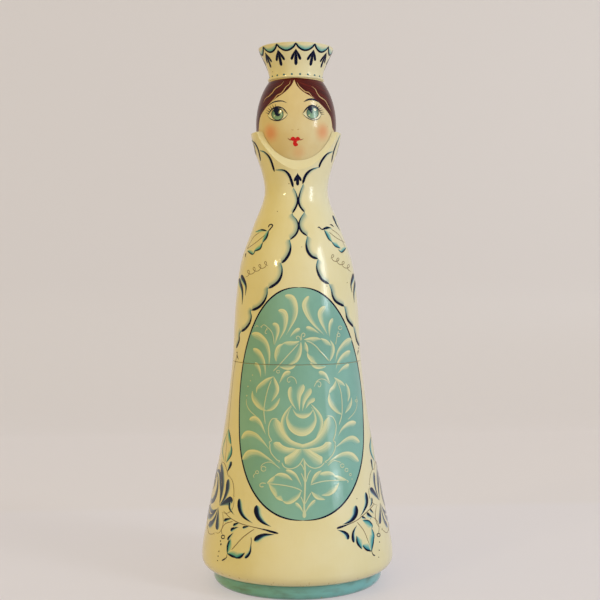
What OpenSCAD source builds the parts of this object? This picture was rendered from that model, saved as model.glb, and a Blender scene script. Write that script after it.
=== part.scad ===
// Turned wooden doll that opens at the waist and holds a bottle.
// It stands on Z = 0, its axis is Z, and its face looks along -Y.

/* [Foot] */
// Radius of the foot disc
foot_r = 72; // [68:0.5:80]
// Thickness of the foot disc
foot_h = 12.5; // [9:0.5:18]
// Rounding of the foot's lower edge
foot_low_round = 6; // [3:0.5:7]
// Rounding of the foot's upper edge
foot_high_round = 1.5; // [0.5:0.25:3]
// Height of the plug that enters the skirt
plug_h = 9; // [5:0.5:15]
// Width of the flat ring where the skirt stands on the foot
foot_seat_w = 9; // [6:0.5:12]
// Width of the step in the bore above the plug
plug_step = 2; // [1:0.25:4]

/* [Skirt] */
// Radius at the hem, the widest place
hem_r = 82; // [79:0.5:90]
// Radius of the roll under the hem
hem_roll = 9.5; // [6:0.5:11]
// Height from the hem up to the knees
knee_rise = 35; // [25:1:45]
// Radius at the knees
knee_r = 76.6; // [72:0.2:79]
// Height from the knees up to the hips
hip_rise = 55; // [40:1:70]
// Radius at the hips
hip_r = 65.7; // [62:0.1:70]
// Height from the hips up to the seam
seam_rise = 76; // [50:1:100]

/* [Seam] */
// Radius at the seam between the two halves
seam_r = 55.2; // [52:0.2:60]
// Width of the ledge that the upper half stands on
ledge_w = 4.2; // [3:0.1:6]
// Wall of the spigot on the lower half
spigot_t = 4.5; // [3:0.1:6]
// Height of the spigot above the seam
spigot_h = 12; // [8:0.5:20]
// Gap between the two halves at the seam
seam_gap = 0.3; // [0.2:0.05:0.6]
// Clearance of the spigot in its socket
fit_gap = 0.25; // [0.15:0.05:0.5]
// Chamfer on both rims of the seam and on the collar's rim
edge_chamfer = 0.4; // [0.2:0.1:1]

/* [Bodice] */
// Height from the seam up to the bust
bust_rise = 54; // [40:1:70]
// Radius at the bust
bust_r = 51.7; // [50:0.1:54]
// Height from the bust up to the shoulders
shoulder_rise = 32; // [22:1:42]
// Radius at the shoulders
shoulder_r = 47; // [44:0.5:49]
// Height from the shoulders up to the throat
throat_rise = 28; // [20:1:36]
// Radius at the throat
throat_r = 37.1; // [34:0.1:41]
// Height from the throat up to the narrowest place of the neck
neck_rise = 31; // [24:1:40]
// Radius at the narrowest place of the neck
neck_r = 27; // [25:0.5:31]
// Wall of the upper half around the bottle
wall_t = 8; // [6:0.5:10]

/* [Collar] */
// Height from the narrowest place of the neck up to the collar's rim
collar_rise = 48; // [36:1:52]
// Radius at the collar's rim
collar_r = 38.7; // [37.5:0.1:43]
// How far in front of the axis the opening meets the rim
opening_y = 18; // [12:0.5:24]
// Lean of the opening from upright
opening_lean = 19.4; // [12:0.2:24]

/* [Head] */
// Radius of the head at its widest place
head_r = 34.2; // [32:0.1:36]
// Half of the height of the full egg shape
head_half_h = 50; // [44:0.5:56]
// Height of the head's seat above the narrowest place of the neck
seat_rise = 11; // [6:0.5:14]
// Radius of the flat under the head
seat_r = 16; // [15:0.25:18]
// Radius of the tenon under the head
tenon_r = 13; // [9:0.5:14]
// Length of the tenon
tenon_h = 14; // [10:0.5:18]
// Wood left between the tenon's hole and the bottle's space
web_t = 6; // [4:0.5:10]
// Gap between the head and the cup of the collar
cup_gap = 0.4; // [0.3:0.05:0.6]

/* [Crown] */
// Radius of the flat on the head that carries the crown
crown_seat_r = 22.75; // [20:0.25:23]
// Height of the crown
crown_h = 28; // [20:0.5:36]
// Radius of the bead at the crown's base
bead_r = 24; // [23.5:0.1:24.8]
// Height of the bead
bead_h = 2.5; // [2.5:0.25:4]
// Radius of the crown just above its bead
crown_low_r = 22.9; // [22.25:0.05:23.25]
// Radius of the crown's rim
crown_rim_r = 31.9; // [28:0.1:36]
// Width of the flat on the crown's rim
crown_rim_w = 3; // [2:0.25:5]
// Depth of the dish in the crown's top
dish_h = 2; // [1:0.25:4]
// Radius of the peg on the head that enters the crown
peg_r = 9; // [6:0.5:12]
// Length of the peg
peg_h = 8; // [5:0.5:12]

/* [Glue joints] */
// Clearance around a glued tenon, plug or peg
glue_gap = 0.15; // [0.1:0.05:0.3]
// Room past the end of a tenon, plug, peg or spigot
end_gap = 0.5; // [0.3:0.1:1]

/* [Hidden] */
$fn = 128;

// Height of one step along a turned outline, and along the rougher bore
outline_step = 3;
bore_outline_step = 9;
// Turn of one step along a round
round_step = 15;
// Turn of one step along the head
head_step = 5;
// Slopes where the outlines end, as shares of the last straight line's slope
collar_end_slope = 0.5;
crown_end_slope = 1;

// Heights above the table
hem_z = foot_h + hem_roll;
knee_z = hem_z + knee_rise;
hip_z = knee_z + hip_rise;
seam_z = hip_z + seam_rise;
bust_z = seam_z + bust_rise;
shoulder_z = bust_z + shoulder_rise;
throat_z = shoulder_z + throat_rise;
neck_z = throat_z + neck_rise;
collar_z = neck_z + collar_rise;
seat_z = neck_z + seat_rise;
head_z = seat_z + head_half_h * sin(acos(seat_r / head_r));
crown_z = head_z + head_half_h * sin(acos(crown_seat_r / head_r));

// The plug and the bore above it
plug_r = hem_r - hem_roll - foot_seat_w;
plug_hole_r = plug_r + glue_gap;
plug_hole_z = foot_h + plug_h + end_gap;
bore_low_r = plug_r - plug_step;

// The spigot, its socket and the room for the bottle
spigot_r = seam_r - ledge_w;
mouth_r = spigot_r - spigot_t;
spigot_z = seam_z + spigot_h;
socket_r = spigot_r + fit_gap;
socket_z = spigot_z + end_gap;
upper_z = seam_z + seam_gap;
tenon_hole_r = tenon_r + glue_gap;
tenon_hole_z = seat_z - tenon_h - end_gap;
bore_top_z = tenon_hole_z - web_t;

// Stations of the doll's outline, as height and radius
outline = [
    [hem_z, hem_r],
    [knee_z, knee_r],
    [hip_z, hip_r],
    [seam_z, seam_r],
    [bust_z, bust_r],
    [shoulder_z, shoulder_r],
    [throat_z, throat_r],
    [neck_z, neck_r],
    [collar_z, collar_r]
];

// Where the crown's flare leaves the round of the bead
bead_round = bead_h / 2;
bead_turn = acos((crown_low_r - bead_r + bead_round) / bead_round);
flare_z = crown_z + bead_round + bead_round * sin(bead_turn);
crown_top_z = crown_z + crown_h;

// Stations of the crown's flare
flare = [
    [flare_z, crown_low_r],
    [crown_top_z - edge_chamfer, crown_rim_r]
];

// Slope of the straight line from station i to the next one
function chord(s, i) = (s[i + 1].y - s[i].y) / (s[i + 1].x - s[i].x);

// Slope of the outline at station i: level at the start and wherever the outline turns back
function slope(s, i, end_slope) =
    i == 0 ? 0
    : i == len(s) - 1 ? end_slope * chord(s, i - 1)
    : chord(s, i - 1) * chord(s, i) <= 0 ? 0
    : let (below = s[i].x - s[i - 1].x, above = s[i + 1].x - s[i].x)
      (chord(s, i - 1) * above + chord(s, i) * below) / (below + above);

// Number of the span between stations that holds height z
function span_of(s, z, i = 0) =
    i >= len(s) - 2 || z <= s[i + 1].x ? i : span_of(s, z, i + 1);

// Radius of the smooth outline at height z
function radius_at(s, z, end_slope) =
    let (i = span_of(s, z))
    let (h = s[i + 1].x - s[i].x)
    let (t = (z - s[i].x) / h)
    s[i].y * (2 * t ^ 3 - 3 * t ^ 2 + 1)
    + s[i + 1].y * (3 * t ^ 2 - 2 * t ^ 3)
    + h * slope(s, i, end_slope) * (t ^ 3 - 2 * t ^ 2 + t)
    + h * slope(s, i + 1, end_slope) * (t ^ 3 - t ^ 2);

// Radius of the doll's body at height z
function body_r(z) = radius_at(outline, z, collar_end_slope);

// Heights from one to another in even steps
function steps(from, to, step) =
    let (n = ceil(abs(to - from) / step))
    [for (k = [0:n]) from + (to - from) * k / n];

// Points of an arc in the half plane that is turned
function arc(r, z, radius, from, to) =
    [for (a = steps(from, to, round_step)) [r + radius * cos(a), z + radius * sin(a)]];

// Points along the head's egg, a gap outside it
function egg(from, to, gap) =
    [for (a = steps(from, to, head_step)) [head_r * cos(a) + gap, head_z + head_half_h * sin(a)]];

// Turquoise disc under the skirt, with the plug that centres it
module foot() {
    low = arc(foot_r - foot_low_round, foot_low_round, foot_low_round, -90, 0);
    high = arc(foot_r - foot_high_round, foot_h - foot_high_round, foot_high_round, 0, 90);
    plug = [[plug_r, foot_h], [plug_r, foot_h + plug_h], [0, foot_h + plug_h]];
    color([0.33, 0.56, 0.54])
        rotate_extrude()
            polygon(concat([[0, 0]], low, high, plug));
}

// Lower half: the skirt, bored from below, with the spigot at its top
module lower_shell() {
    roll = arc(hem_r - hem_roll, hem_z, hem_roll, -90, 0);
    side = [for (z = steps(hem_z, seam_z - edge_chamfer, outline_step)) if (z > hem_z) [body_r(z), z]];
    ledge = [[seam_r - edge_chamfer, seam_z], [spigot_r, seam_z]];
    spigot = [
        [spigot_r, spigot_z - edge_chamfer],
        [spigot_r - edge_chamfer, spigot_z],
        [mouth_r, spigot_z],
        [mouth_r, seam_z]
    ];
    bore = [[bore_low_r, plug_hole_z], [plug_hole_r, plug_hole_z], [plug_hole_r, foot_h]];
    color([0.85, 0.76, 0.49])
        rotate_extrude()
            polygon(concat(roll, side, ledge, spigot, bore));
}

// Space in front of the face, past the slanted opening of the collar
module face_opening() {
    reach = 2 * collar_r;
    translate([0, -opening_y, collar_z])
        rotate([-opening_lean, 0, 0])
            translate([-reach, -2 * reach, -collar_rise])
                cube([2 * reach, 2 * reach, 2 * collar_rise]);
}

// Upper half: bodice, neck and the collar that cups the head
module upper_shell() {
    rim = [[socket_r, upper_z], [body_r(upper_z) - edge_chamfer, upper_z]];
    side = [for (z = steps(upper_z + edge_chamfer, collar_z - edge_chamfer, outline_step)) [body_r(z), z]];
    cup_turn = min(0, asin((collar_z - head_z) / head_half_h));
    cup_r = head_r * cos(cup_turn) + cup_gap;
    collar = [[collar_r - edge_chamfer, collar_z], [cup_r, collar_z]];
    cup = egg(cup_turn, -acos(seat_r / head_r), cup_gap);
    tenon_hole = [[tenon_hole_r, seat_z], [tenon_hole_r, tenon_hole_z], [0, tenon_hole_z], [0, bore_top_z]];
    bore = [for (z = steps(bore_top_z, socket_z, bore_outline_step)) [body_r(z) - wall_t, z]];
    color([0.83, 0.76, 0.46])
        difference() {
            rotate_extrude()
                polygon(concat(rim, side, collar, cup, tenon_hole, bore, [[socket_r, socket_z]]));
            face_opening();
        }
}

// Egg-shaped head with a tenon below and a peg for the crown above
module head() {
    tenon = [[0, seat_z - tenon_h], [tenon_r, seat_z - tenon_h], [tenon_r, seat_z]];
    side = egg(-acos(seat_r / head_r), acos(crown_seat_r / head_r), 0);
    peg = [[peg_r, crown_z], [peg_r, crown_z + peg_h], [0, crown_z + peg_h]];
    color([0.86, 0.72, 0.55])
        rotate_extrude()
            polygon(concat(tenon, side, peg));
}

// Flared crown with a bead at its base and a shallow dish on top
module crown() {
    bead = arc(bead_r - bead_round, crown_z + bead_round, bead_round, -90, bead_turn);
    side = [
        for (z = steps(flare_z, crown_top_z - edge_chamfer, outline_step))
            if (z > flare_z) [radius_at(flare, z, crown_end_slope), z]
    ];
    top = [
        [crown_rim_r - edge_chamfer, crown_top_z],
        [crown_rim_r - crown_rim_w, crown_top_z],
        [0, crown_top_z - dish_h]
    ];
    peg_hole_r = peg_r + glue_gap;
    peg_hole_z = crown_z + peg_h + end_gap;
    peg_hole = [[0, peg_hole_z], [peg_hole_r, peg_hole_z], [peg_hole_r, crown_z]];
    color([0.84, 0.75, 0.42])
        rotate_extrude()
            polygon(concat(bead, side, top, peg_hole));
}

foot();
lower_shell();
upper_shell();
head();
crown();
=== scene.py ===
# %% [markdown]
# # A turned wooden doll, painted and lacquered
# The doll is five turned pieces of limewood. The frame holds their exact shapes, so this script
# leaves them where they are and does what the painter did: grounds, brush strokes, a face and lacquer.

# %% Load the turned pieces
import math

import bmesh
import bpy
from mathutils import Matrix, Vector
from mathutils.bvhtree import BVHTree


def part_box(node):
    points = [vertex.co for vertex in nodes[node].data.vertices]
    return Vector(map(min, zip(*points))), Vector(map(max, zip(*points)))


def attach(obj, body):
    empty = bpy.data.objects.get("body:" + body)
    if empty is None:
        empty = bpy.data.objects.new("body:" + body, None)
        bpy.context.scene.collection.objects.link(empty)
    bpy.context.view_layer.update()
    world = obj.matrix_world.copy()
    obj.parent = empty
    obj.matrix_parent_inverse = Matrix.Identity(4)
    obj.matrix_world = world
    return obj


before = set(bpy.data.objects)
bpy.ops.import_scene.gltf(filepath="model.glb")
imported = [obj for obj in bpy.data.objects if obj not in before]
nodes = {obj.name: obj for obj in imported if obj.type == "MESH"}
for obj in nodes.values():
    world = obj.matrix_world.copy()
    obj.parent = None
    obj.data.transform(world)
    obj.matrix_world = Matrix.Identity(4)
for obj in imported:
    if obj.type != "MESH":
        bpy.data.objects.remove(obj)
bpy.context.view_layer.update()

MM = 0.001
scene = bpy.context.scene
print("turned pieces:", {name: len(node.data.vertices) for name, node in nodes.items()})

# %% [markdown]
# ## The photograph's viewpoint
# The picture was taken from about a metre away, a little above the middle of the doll. The doll is
# turned a few degrees to its left, so the camera stands that much to the side of the painted front.
# The same camera also carries places from the picture to the wood, as a slide projector would.

# %% Camera
PICTURE = 600
FOCAL_PIXELS = 1124
SENSOR = 36
CAMERA_AWAY = 964 * MM
CAMERA_HEIGHT = 263 * MM
CAMERA_ASIDE = 2.9 * MM
CAMERA_TURN = math.radians(3.2)
CAMERA_PITCH = math.radians(1.4)
CAMERA_ROLL = math.radians(0.17)

camera = bpy.data.objects.new("camera", bpy.data.cameras.new("camera"))
scene.collection.objects.link(camera)
camera.data.sensor_width = SENSOR
camera.data.lens = SENSOR * FOCAL_PIXELS / PICTURE
camera.data.clip_end = 20
forward = Vector((math.sin(CAMERA_TURN), math.cos(CAMERA_TURN), 0))
right = Vector((math.cos(CAMERA_TURN), -math.sin(CAMERA_TURN), 0))
stand = CAMERA_ASIDE * right - CAMERA_AWAY * forward + Vector((0, 0, CAMERA_HEIGHT))
turn = Matrix.Rotation(-CAMERA_TURN, 4, "Z")
tilt = Matrix.Rotation(math.pi / 2 - CAMERA_PITCH, 4, "X")
roll = Matrix.Rotation(-CAMERA_ROLL, 4, "Z")
camera.matrix_world = Matrix.Translation(stand) @ turn @ tilt @ roll
scene.camera = camera
print("camera stands at", [round(c, 3) for c in stand], "with a lens of", round(camera.data.lens, 1), "mm")

# %% [markdown]
# ## Shader maths as Python
# A finish is arithmetic on noise, heights and brush marks. A small class wraps one socket of a
# material's nodes, so that `1 - mask` or `grain * 0.2` adds the Math nodes by itself.

# %% Shader values
class Shade:
    """One value in a material's nodes; arithmetic on it adds Math nodes."""

    def __init__(self, tree, socket=None):
        self.tree = tree
        self.socket = socket

    def node(self, kind, settings=None, values=None, out=0):
        """Adds any node: its settings first, then the values or links of its sockets."""
        made = self.tree.nodes.new(kind)
        for name, value in (settings or {}).items():
            setattr(made, name, value)
        for name, value in (values or {}).items():
            if isinstance(value, Shade):
                self.tree.links.new(value.socket, made.inputs[name])
            else:
                made.inputs[name].default_value = value
        return Shade(self.tree, made.outputs[out] if made.outputs else None)

    def math(self, operation, first, second=0.0):
        return self.node("ShaderNodeMath", {"operation": operation}, {0: first, 1: second})

    def __add__(self, other):
        return self.math("ADD", self, other)

    def __radd__(self, other):
        return self.math("ADD", other, self)

    def __sub__(self, other):
        return self.math("SUBTRACT", self, other)

    def __rsub__(self, other):
        return self.math("SUBTRACT", other, self)

    def __mul__(self, other):
        return self.math("MULTIPLY", self, other)

    def __rmul__(self, other):
        return self.math("MULTIPLY", other, self)

    def rise(self, low, high):
        """0 below low, 1 above high, and a smooth step between them."""
        values = {"Value": self, "From Min": low, "From Max": high}
        return self.node("ShaderNodeMapRange", {"interpolation_type": "SMOOTHSTEP"}, values)

    def mix(self, start, end):
        """A colour that goes from start to end as this value goes from 0 to 1."""
        return self.node("ShaderNodeMix", {"data_type": "RGBA"}, {0: self, 6: start, 7: end}, out=2)

    def part(self, axis):
        return self.node("ShaderNodeSeparateXYZ", values={"Vector": self}, out=axis)

    def stretched(self, x, y, z):
        """This place with each of its axes scaled, which draws a noise out into fibres or rings."""
        return self.node("ShaderNodeVectorMath", {"operation": "MULTIPLY"}, {0: self, 1: (x, y, z)})

    def measured(self, operation, other=(0, 0, 0)):
        """A number from this place and another: a length, a distance or a dot product."""
        return self.node("ShaderNodeVectorMath", {"operation": operation}, {0: self, 1: other}, out="Value")

    def noise(self, size, detail=3.0):
        """Soft noise whose blotches are about this many metres across."""
        return self.node("ShaderNodeTexNoise", values={"Vector": self, "Scale": 1 / size, "Detail": detail})


def paint(red, green, blue):
    """A colour as a painter would read it off a screen, 0 to 255, in the linear light of shaders."""
    values = [c / 255 for c in (red, green, blue)]
    linear = [c / 12.92 if c <= 0.04045 else ((c + 0.055) / 1.055) ** 2.4 for c in values]
    return (*linear, 1.0)


print("shader values ready")

# %% [markdown]
# ## Paints
# Every ground is a function of the place on the doll, so a brush stroke can fade into the same ground
# that it lies on and its edge disappears. The cream is old: it has yellowed in clouds, it shows the
# fibres of the wood a little, and it has a few dark specks. Where the doll is handled or stands, on
# the hem, the foot and the crown's rim, small chips show the wood.

# %% Grounds
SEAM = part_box("upper_shell")[0][2]
CREAM, YELLOWED, SPECK = paint(222, 212, 176), paint(217, 204, 156), paint(96, 78, 48)
TURQUOISE, TURQUOISE_DEEP = paint(130, 175, 164), paint(112, 158, 148)
FOOT_TURQUOISE, FOOT_SCUFFED = paint(116, 172, 172), paint(104, 140, 134)
LIMEWOOD, LIMEWOOD_DARK = paint(222, 192, 146), paint(204, 170, 122)
CHIPPED = paint(172, 136, 86)
CLOUD_SIZE, MEDALLION_CLOUDS = 45 * MM, 30 * MM
FIBRE_SIZE, MEDALLION_FIBRES, GRAIN_SIZE = 1.6 * MM, 1.4 * MM, 1.2 * MM
SCUFF_SIZE = 8 * MM
SPECK_SPACING = 17 * MM
SPECK_SIZE = 0.022
CHIP_SIZE = 2.4 * MM
HEM_BAND = (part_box("lower_shell")[0][2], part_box("lower_shell")[0][2] + 5 * MM)
CROWN_BAND = (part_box("crown")[1][2] - 0.8 * MM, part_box("crown")[1][2])
FOOT_EDGE = (0.0, 2.5 * MM)


def chips(place, low, high):
    """1 in small chips between two heights, and 0 elsewhere."""
    height = place.part("Z")
    band = height.rise(low - MM, low) * (1 - height.rise(high, high + MM))
    return band * place.noise(CHIP_SIZE, 2).rise(0.66, 0.7)


def cream(place):
    clouds = place.noise(CLOUD_SIZE, 4)
    fibres = place.stretched(1, 1, 0.04).noise(FIBRE_SIZE, 2)
    ground = (clouds.rise(0.35, 0.7) * 0.6 + fibres * 0.25).mix(CREAM, YELLOWED)
    ground = (chips(place, *HEM_BAND) + chips(place, *CROWN_BAND)).mix(ground, CHIPPED)
    speck = place.node("ShaderNodeTexVoronoi", values={"Vector": place, "Scale": 1 / SPECK_SPACING})
    return (1 - speck.rise(SPECK_SIZE, SPECK_SIZE * 1.6)).mix(ground, SPECK)


def turquoise(place):
    clouds = place.noise(MEDALLION_CLOUDS, 4)
    fibres = place.stretched(1, 1, 0.05).noise(MEDALLION_FIBRES, 2)
    return (clouds.rise(0.3, 0.75) * 0.7 + fibres * 0.2).mix(TURQUOISE, TURQUOISE_DEEP)


def foot_turquoise(place):
    """A bluer turquoise than the medallion's, scuffed in patches and chipped along its lower edge."""
    scuffs = place.stretched(0.5, 0.5, 2).noise(SCUFF_SIZE, 5).rise(0.45, 0.75)
    return chips(place, *FOOT_EDGE).mix(scuffs.mix(FOOT_TURQUOISE, FOOT_SCUFFED), CHIPPED)


def limewood(place):
    grain = place.stretched(1, 1, 0.03).noise(GRAIN_SIZE, 4)
    return grain.rise(0.35, 0.7).mix(LIMEWOOD, LIMEWOOD_DARK)


print("the seam is at", round(SEAM / MM, 1), "mm")

# %% [markdown]
# ## Lacquer
# All the paint is under a clear gloss lacquer. The shader's coat layer is that lacquer, and the faint
# rings left by turning and the orange skin of the lacquer go into the bump. Where the wood was never
# painted, inside the halves and on the spigot, the finish is bare limewood.

# %% Lacquered finish
RING_PITCH = 2.2 * MM
RING_DEPTH = 0.004 * MM
SKIN_SIZE = 1.5 * MM
SKIN_DEPTH = 0.002 * MM
DULL_PATCHES = 20 * MM
DULLNESS, DULL_SPREAD, BARE_DULLER = 0.24, 0.16, 0.3
PAINT_SHINE, COAT_ROUGHNESS, COAT_IOR = 0.06, 0.08, 1.33
# Each pair: where a mask starts to change and where it is full
SPIGOT_EDGE = (51.6 * MM, 52.2 * MM)
SPIGOT_FOOT = (SEAM - 1.0 * MM, SEAM - 0.5 * MM)
SPIGOT_TOP = (1.15 * SEAM, 1.16 * SEAM)
FOOT_SOLE = (0.1 * MM, 0.4 * MM)
FACING_OUT = (-0.001, 0.001)


def lacquered(name, colour, bare=None, gloss=1.0):
    """A material of this colour under gloss lacquer, and bare wood where the bare mask is 1."""
    material = bpy.data.materials.new(name)
    material.use_nodes = True
    tree = material.node_tree
    tree.nodes.clear()
    start = Shade(tree)
    place = start.node("ShaderNodeTexCoord", out="Object")
    rings = place.stretched(0.05, 0.05, 1).noise(RING_PITCH, 1)
    skin = place.noise(SKIN_SIZE, 1)
    height = rings * RING_DEPTH + skin * SKIN_DEPTH
    bump = start.node("ShaderNodeBump", values={"Distance": 1.0, "Strength": 1.0, "Height": height})
    roughness = place.noise(DULL_PATCHES) * DULL_SPREAD + DULLNESS
    base = colour(place)
    if bare:
        mask = bare(place)
        base = mask.mix(base, limewood(place))
        roughness = roughness + mask * BARE_DULLER
        gloss = 1 - mask
    values = {"Base Color": base, "Roughness": roughness, "Normal": bump}
    values.update({"Specular IOR Level": PAINT_SHINE, "Coat Weight": gloss})
    values.update({"Coat Roughness": COAT_ROUGHNESS, "Coat IOR": COAT_IOR})
    surface = start.node("ShaderNodeBsdfPrincipled", values=values)
    start.node("ShaderNodeOutputMaterial", values={"Surface": surface})
    return material


def unpainted_inside(place):
    """1 on faces that look towards the axis, on the spigot and on the two faces of the seam."""
    normal = place.node("ShaderNodeNewGeometry", out="True Normal")
    flat = place.stretched(1, 1, 0)
    inside = 1 - flat.measured("DOT_PRODUCT", normal).rise(*FACING_OUT)
    height = place.part("Z")
    joint = height.rise(*SPIGOT_FOOT) * (1 - flat.measured("LENGTH").rise(*SPIGOT_EDGE))
    low = 1 - height.rise(*SPIGOT_TOP)
    return inside.math("MAXIMUM", inside, joint * low)


def unpainted_under(place):
    """1 on the underside of the foot."""
    return 1 - place.part("Z").rise(*FOOT_SOLE)


print("lacquer ready")

# %% [markdown]
# ## Smooth turned surfaces
# A turned piece is smooth all round, and lacquer shows every facet. The frame's meshes are cut into
# narrow cones whose points aren't shared. A Geometry Nodes modifier joins the points for shading and
# keeps only the real edges sharp; it moves nothing.

# %% Smoothing
SHARP_ANGLE = math.radians(28)
SAME_POINT = 0.002 * MM


def smooth_turning():
    """A node group that shades a turned mesh smoothly, except across its real edges."""
    group = bpy.data.node_groups.new("smooth_turning", "GeometryNodeTree")
    group.interface.new_socket("Geometry", in_out="INPUT", socket_type="NodeSocketGeometry")
    group.interface.new_socket("Geometry", in_out="OUTPUT", socket_type="NodeSocketGeometry")
    start = Shade(group)
    mesh = start.node("NodeGroupInput")
    joined = start.node("GeometryNodeMergeByDistance", values={"Geometry": mesh, "Distance": SAME_POINT})
    angle = start.node("GeometryNodeInputMeshEdgeAngle", out="Unsigned Angle")
    settings = {"data_type": "FLOAT", "operation": "GREATER_THAN"}
    sharp = start.node("FunctionNodeCompare", settings, {0: angle, 1: SHARP_ANGLE})
    values = {"Mesh": joined, "Remove Custom": True, "Edge Sharpness": sharp, "Face Sharpness": False}
    shaded = start.node("GeometryNodeSetMeshNormal", {"mode": "SHARPNESS"}, values)
    start.node("NodeGroupOutput", values={"Geometry": shaded})
    return group


smoothing = smooth_turning()
for node in nodes.values():
    node.modifiers.new("smooth turning", "NODES").node_group = smoothing
print("smoothed", len(nodes), "turned pieces")

# %% [markdown]
# ## A finish for each turned piece
# The shells and the crown are cream and the foot is turquoise. The shells are bare inside and the foot
# is bare underneath, so these also get a mask for the bare wood. The shapes stay as they are: only
# their material changes.

# %% Finish each turned piece
def dress(node_name, material):
    node = nodes[node_name]
    node.data.materials.clear()
    node.data.materials.append(material)


dress("foot", lacquered("foot lacquer", foot_turquoise, unpainted_under))
dress("lower_shell", lacquered("skirt lacquer", cream, unpainted_inside))
dress("upper_shell", lacquered("coat lacquer", cream, unpainted_inside))
dress("crown", lacquered("crown lacquer", cream))
print("dressed all but the head, whose paint is placed from the picture further down")

# %% [markdown]
# ## From the picture to the wood
# A painter lays a pattern out on paper and carries it to the turned blank. Here the camera does that:
# a pixel of the picture becomes an angle round the doll and a height on it. Every piece is turned, so
# its skin is one radius for each height, and a brush mark is placed by angle and height alone.

# %% Skins
SKIN_STEP = 0.25 * MM
SKIN_REACH = 200 * MM
SKIN_ANGLES = [math.radians(a) for a in (152, 159, 167, 176, 184, 193)]
SEAM_BAND = (SEAM - 1.2 * MM, SEAM + 1.0 * MM)


def tree_of(*names):
    """One tree of faces that rays can be cast at, for some of the turned pieces."""
    points, faces = [], []
    for name in names:
        mesh = nodes[name].data
        first = len(points)
        points += [point.co for point in mesh.vertices]
        faces += [[first + i for i in face.vertices] for face in mesh.polygons]
    return BVHTree.FromPolygons(points, faces)


class Skin:
    """The outside of some turned pieces: one radius for each height."""

    def __init__(self, body, *names):
        self.body = body
        tree = tree_of(*names)
        self.low = min(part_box(name)[0][2] for name in names) + SKIN_STEP / 2
        high = max(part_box(name)[1][2] for name in names)
        count = int((high - self.low) / SKIN_STEP)
        self.radii = [self.measure(tree, self.low + SKIN_STEP * i) for i in range(count)]
        if body is None:
            self.bridge(*SEAM_BAND)

    def measure(self, tree, z):
        """The widest that rays towards the axis find the wood at this height."""
        widest = 0.0
        for angle in SKIN_ANGLES:
            out = Vector((math.sin(angle), -math.cos(angle), 0))
            hit = tree.ray_cast(out * SKIN_REACH + Vector((0, 0, z)), -out)[0]
            if hit:
                widest = max(widest, hit.xy.length)
        return widest

    def bridge(self, low, high):
        """Runs the skin straight over the open seam."""
        first, last = (int((z - self.low) / SKIN_STEP) for z in (low, high))
        for i in range(first, last):
            share = (i - first) / (last - first)
            self.radii[i] = self.radii[first] * (1 - share) + self.radii[last] * share

    def radius(self, z):
        step = (z - self.low) / SKIN_STEP
        i = min(max(int(step), 0), len(self.radii) - 2)
        return self.radii[i] + (self.radii[i + 1] - self.radii[i]) * (step - i)

    def place(self, angle, z, lift=0.0):
        radius = self.radius(z) + lift
        return Vector((radius * math.sin(angle), -radius * math.cos(angle), z))

    def moved(self, angle, z, aside, up):
        """A place this far aside and up along the skin from another one, as angle and height."""
        slope = (self.radius(z + MM) - self.radius(z - MM)) / (2 * MM)
        return angle + aside / self.radius(z), z + up / math.hypot(1, slope)


body_skin = Skin(None, "lower_shell", "upper_shell")
head_skin = Skin("upper_half", "head")
crown_skin = Skin("upper_half", "crown")
print("hem radius", round(max(body_skin.radii) / MM, 1), "head", round(max(head_skin.radii) / MM, 1))

# %% Picture to skin
WOOD = tree_of(*nodes)


def spot(x, y):
    """Angle and height of the place on the wood that shows at this pixel of the picture."""
    half = PICTURE / 2
    look = Vector(((x - half) / FOCAL_PIXELS, (half - y) / FOCAL_PIXELS, -1)).normalized()
    look = camera.matrix_world.to_3x3() @ look
    hit = WOOD.ray_cast(stand, look)[0]
    if hit is None:
        hit = stand - look * (stand.xy.dot(look.xy) / look.xy.length_squared)
    return math.atan2(hit.x, -hit.y), hit.z


def curve_through(points, steps=9):
    """Points of a smooth curve that goes through all of these."""
    ends = [points[0], *points, points[-1]]
    curve = []
    for a, b, c, d in zip(ends, ends[1:], ends[2:], ends[3:]):
        for step in range(steps):
            t = step / steps
            near, far = -t * (1 - t) ** 2 / 2, -t * t * (1 - t) / 2
            mid_b = 1 - 2.5 * t * t + 1.5 * t ** 3
            mid_c = 0.5 * t + 2 * t * t - 1.5 * t ** 3
            corners = zip(a, b, c, d)
            curve.append(tuple(near * p + mid_b * q + mid_c * r + far * s for p, q, r, s in corners))
    return curve + [tuple(points[-1])]


def traced(*points):
    """A brush path on the wood through these pixels of the picture."""
    return [spot(x, y) for x, y in curve_through(points)]


def laid(*points):
    """A brush path on the wood through these places, each in degrees round and millimetres up."""
    return [(math.radians(a), z * MM) for a, z in curve_through(points)]


print("the middle of the picture shows", [round(c, 3) for c in spot(300, 300)])

# %% [markdown]
# ## Brush strokes
# A stroke on lacquered wood is a thin film of paint that swells and tapers. It could be drawn into a
# texture, but as a film of its own it stays crisp from any distance. Each stroke is a closed ribbon
# about a tenth of a millimetre proud. It remembers how far across and along each of its points is, so
# that its colour can fade from one edge to the other, as a loaded brush leaves it.

# %% Stroke shapes
def taper(t):
    """Thin at both ends and full in the middle."""
    return max(0.06, math.sin(math.pi * t) ** 0.7)


def drop(t):
    """A round head at the start and a long tail."""
    head = 0.22
    if t < head:
        return max(0.12, math.sqrt(max(0.0, 1 - (1 - t / head) ** 2)))
    return max(0.05, 1 - ((t - head) / (1 - head)) ** 1.25)


def comma(t):
    """A fine start that swells late and ends round."""
    return drop(1 - t)


def swell(t):
    """A fine start, full from the middle on, and a blunt end."""
    return max(0.08, min(1.0, 0.12 + 1.6 * t, math.sqrt(max(0.0, 1 - t) * 9)))


def crescent(t):
    """Full only near the middle, with slim arms."""
    arms = 0.26 * min(1.0, 8 * t, 8 * (1 - t))
    return max(0.06, arms, math.sin(math.pi * t) ** 1.8)


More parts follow.
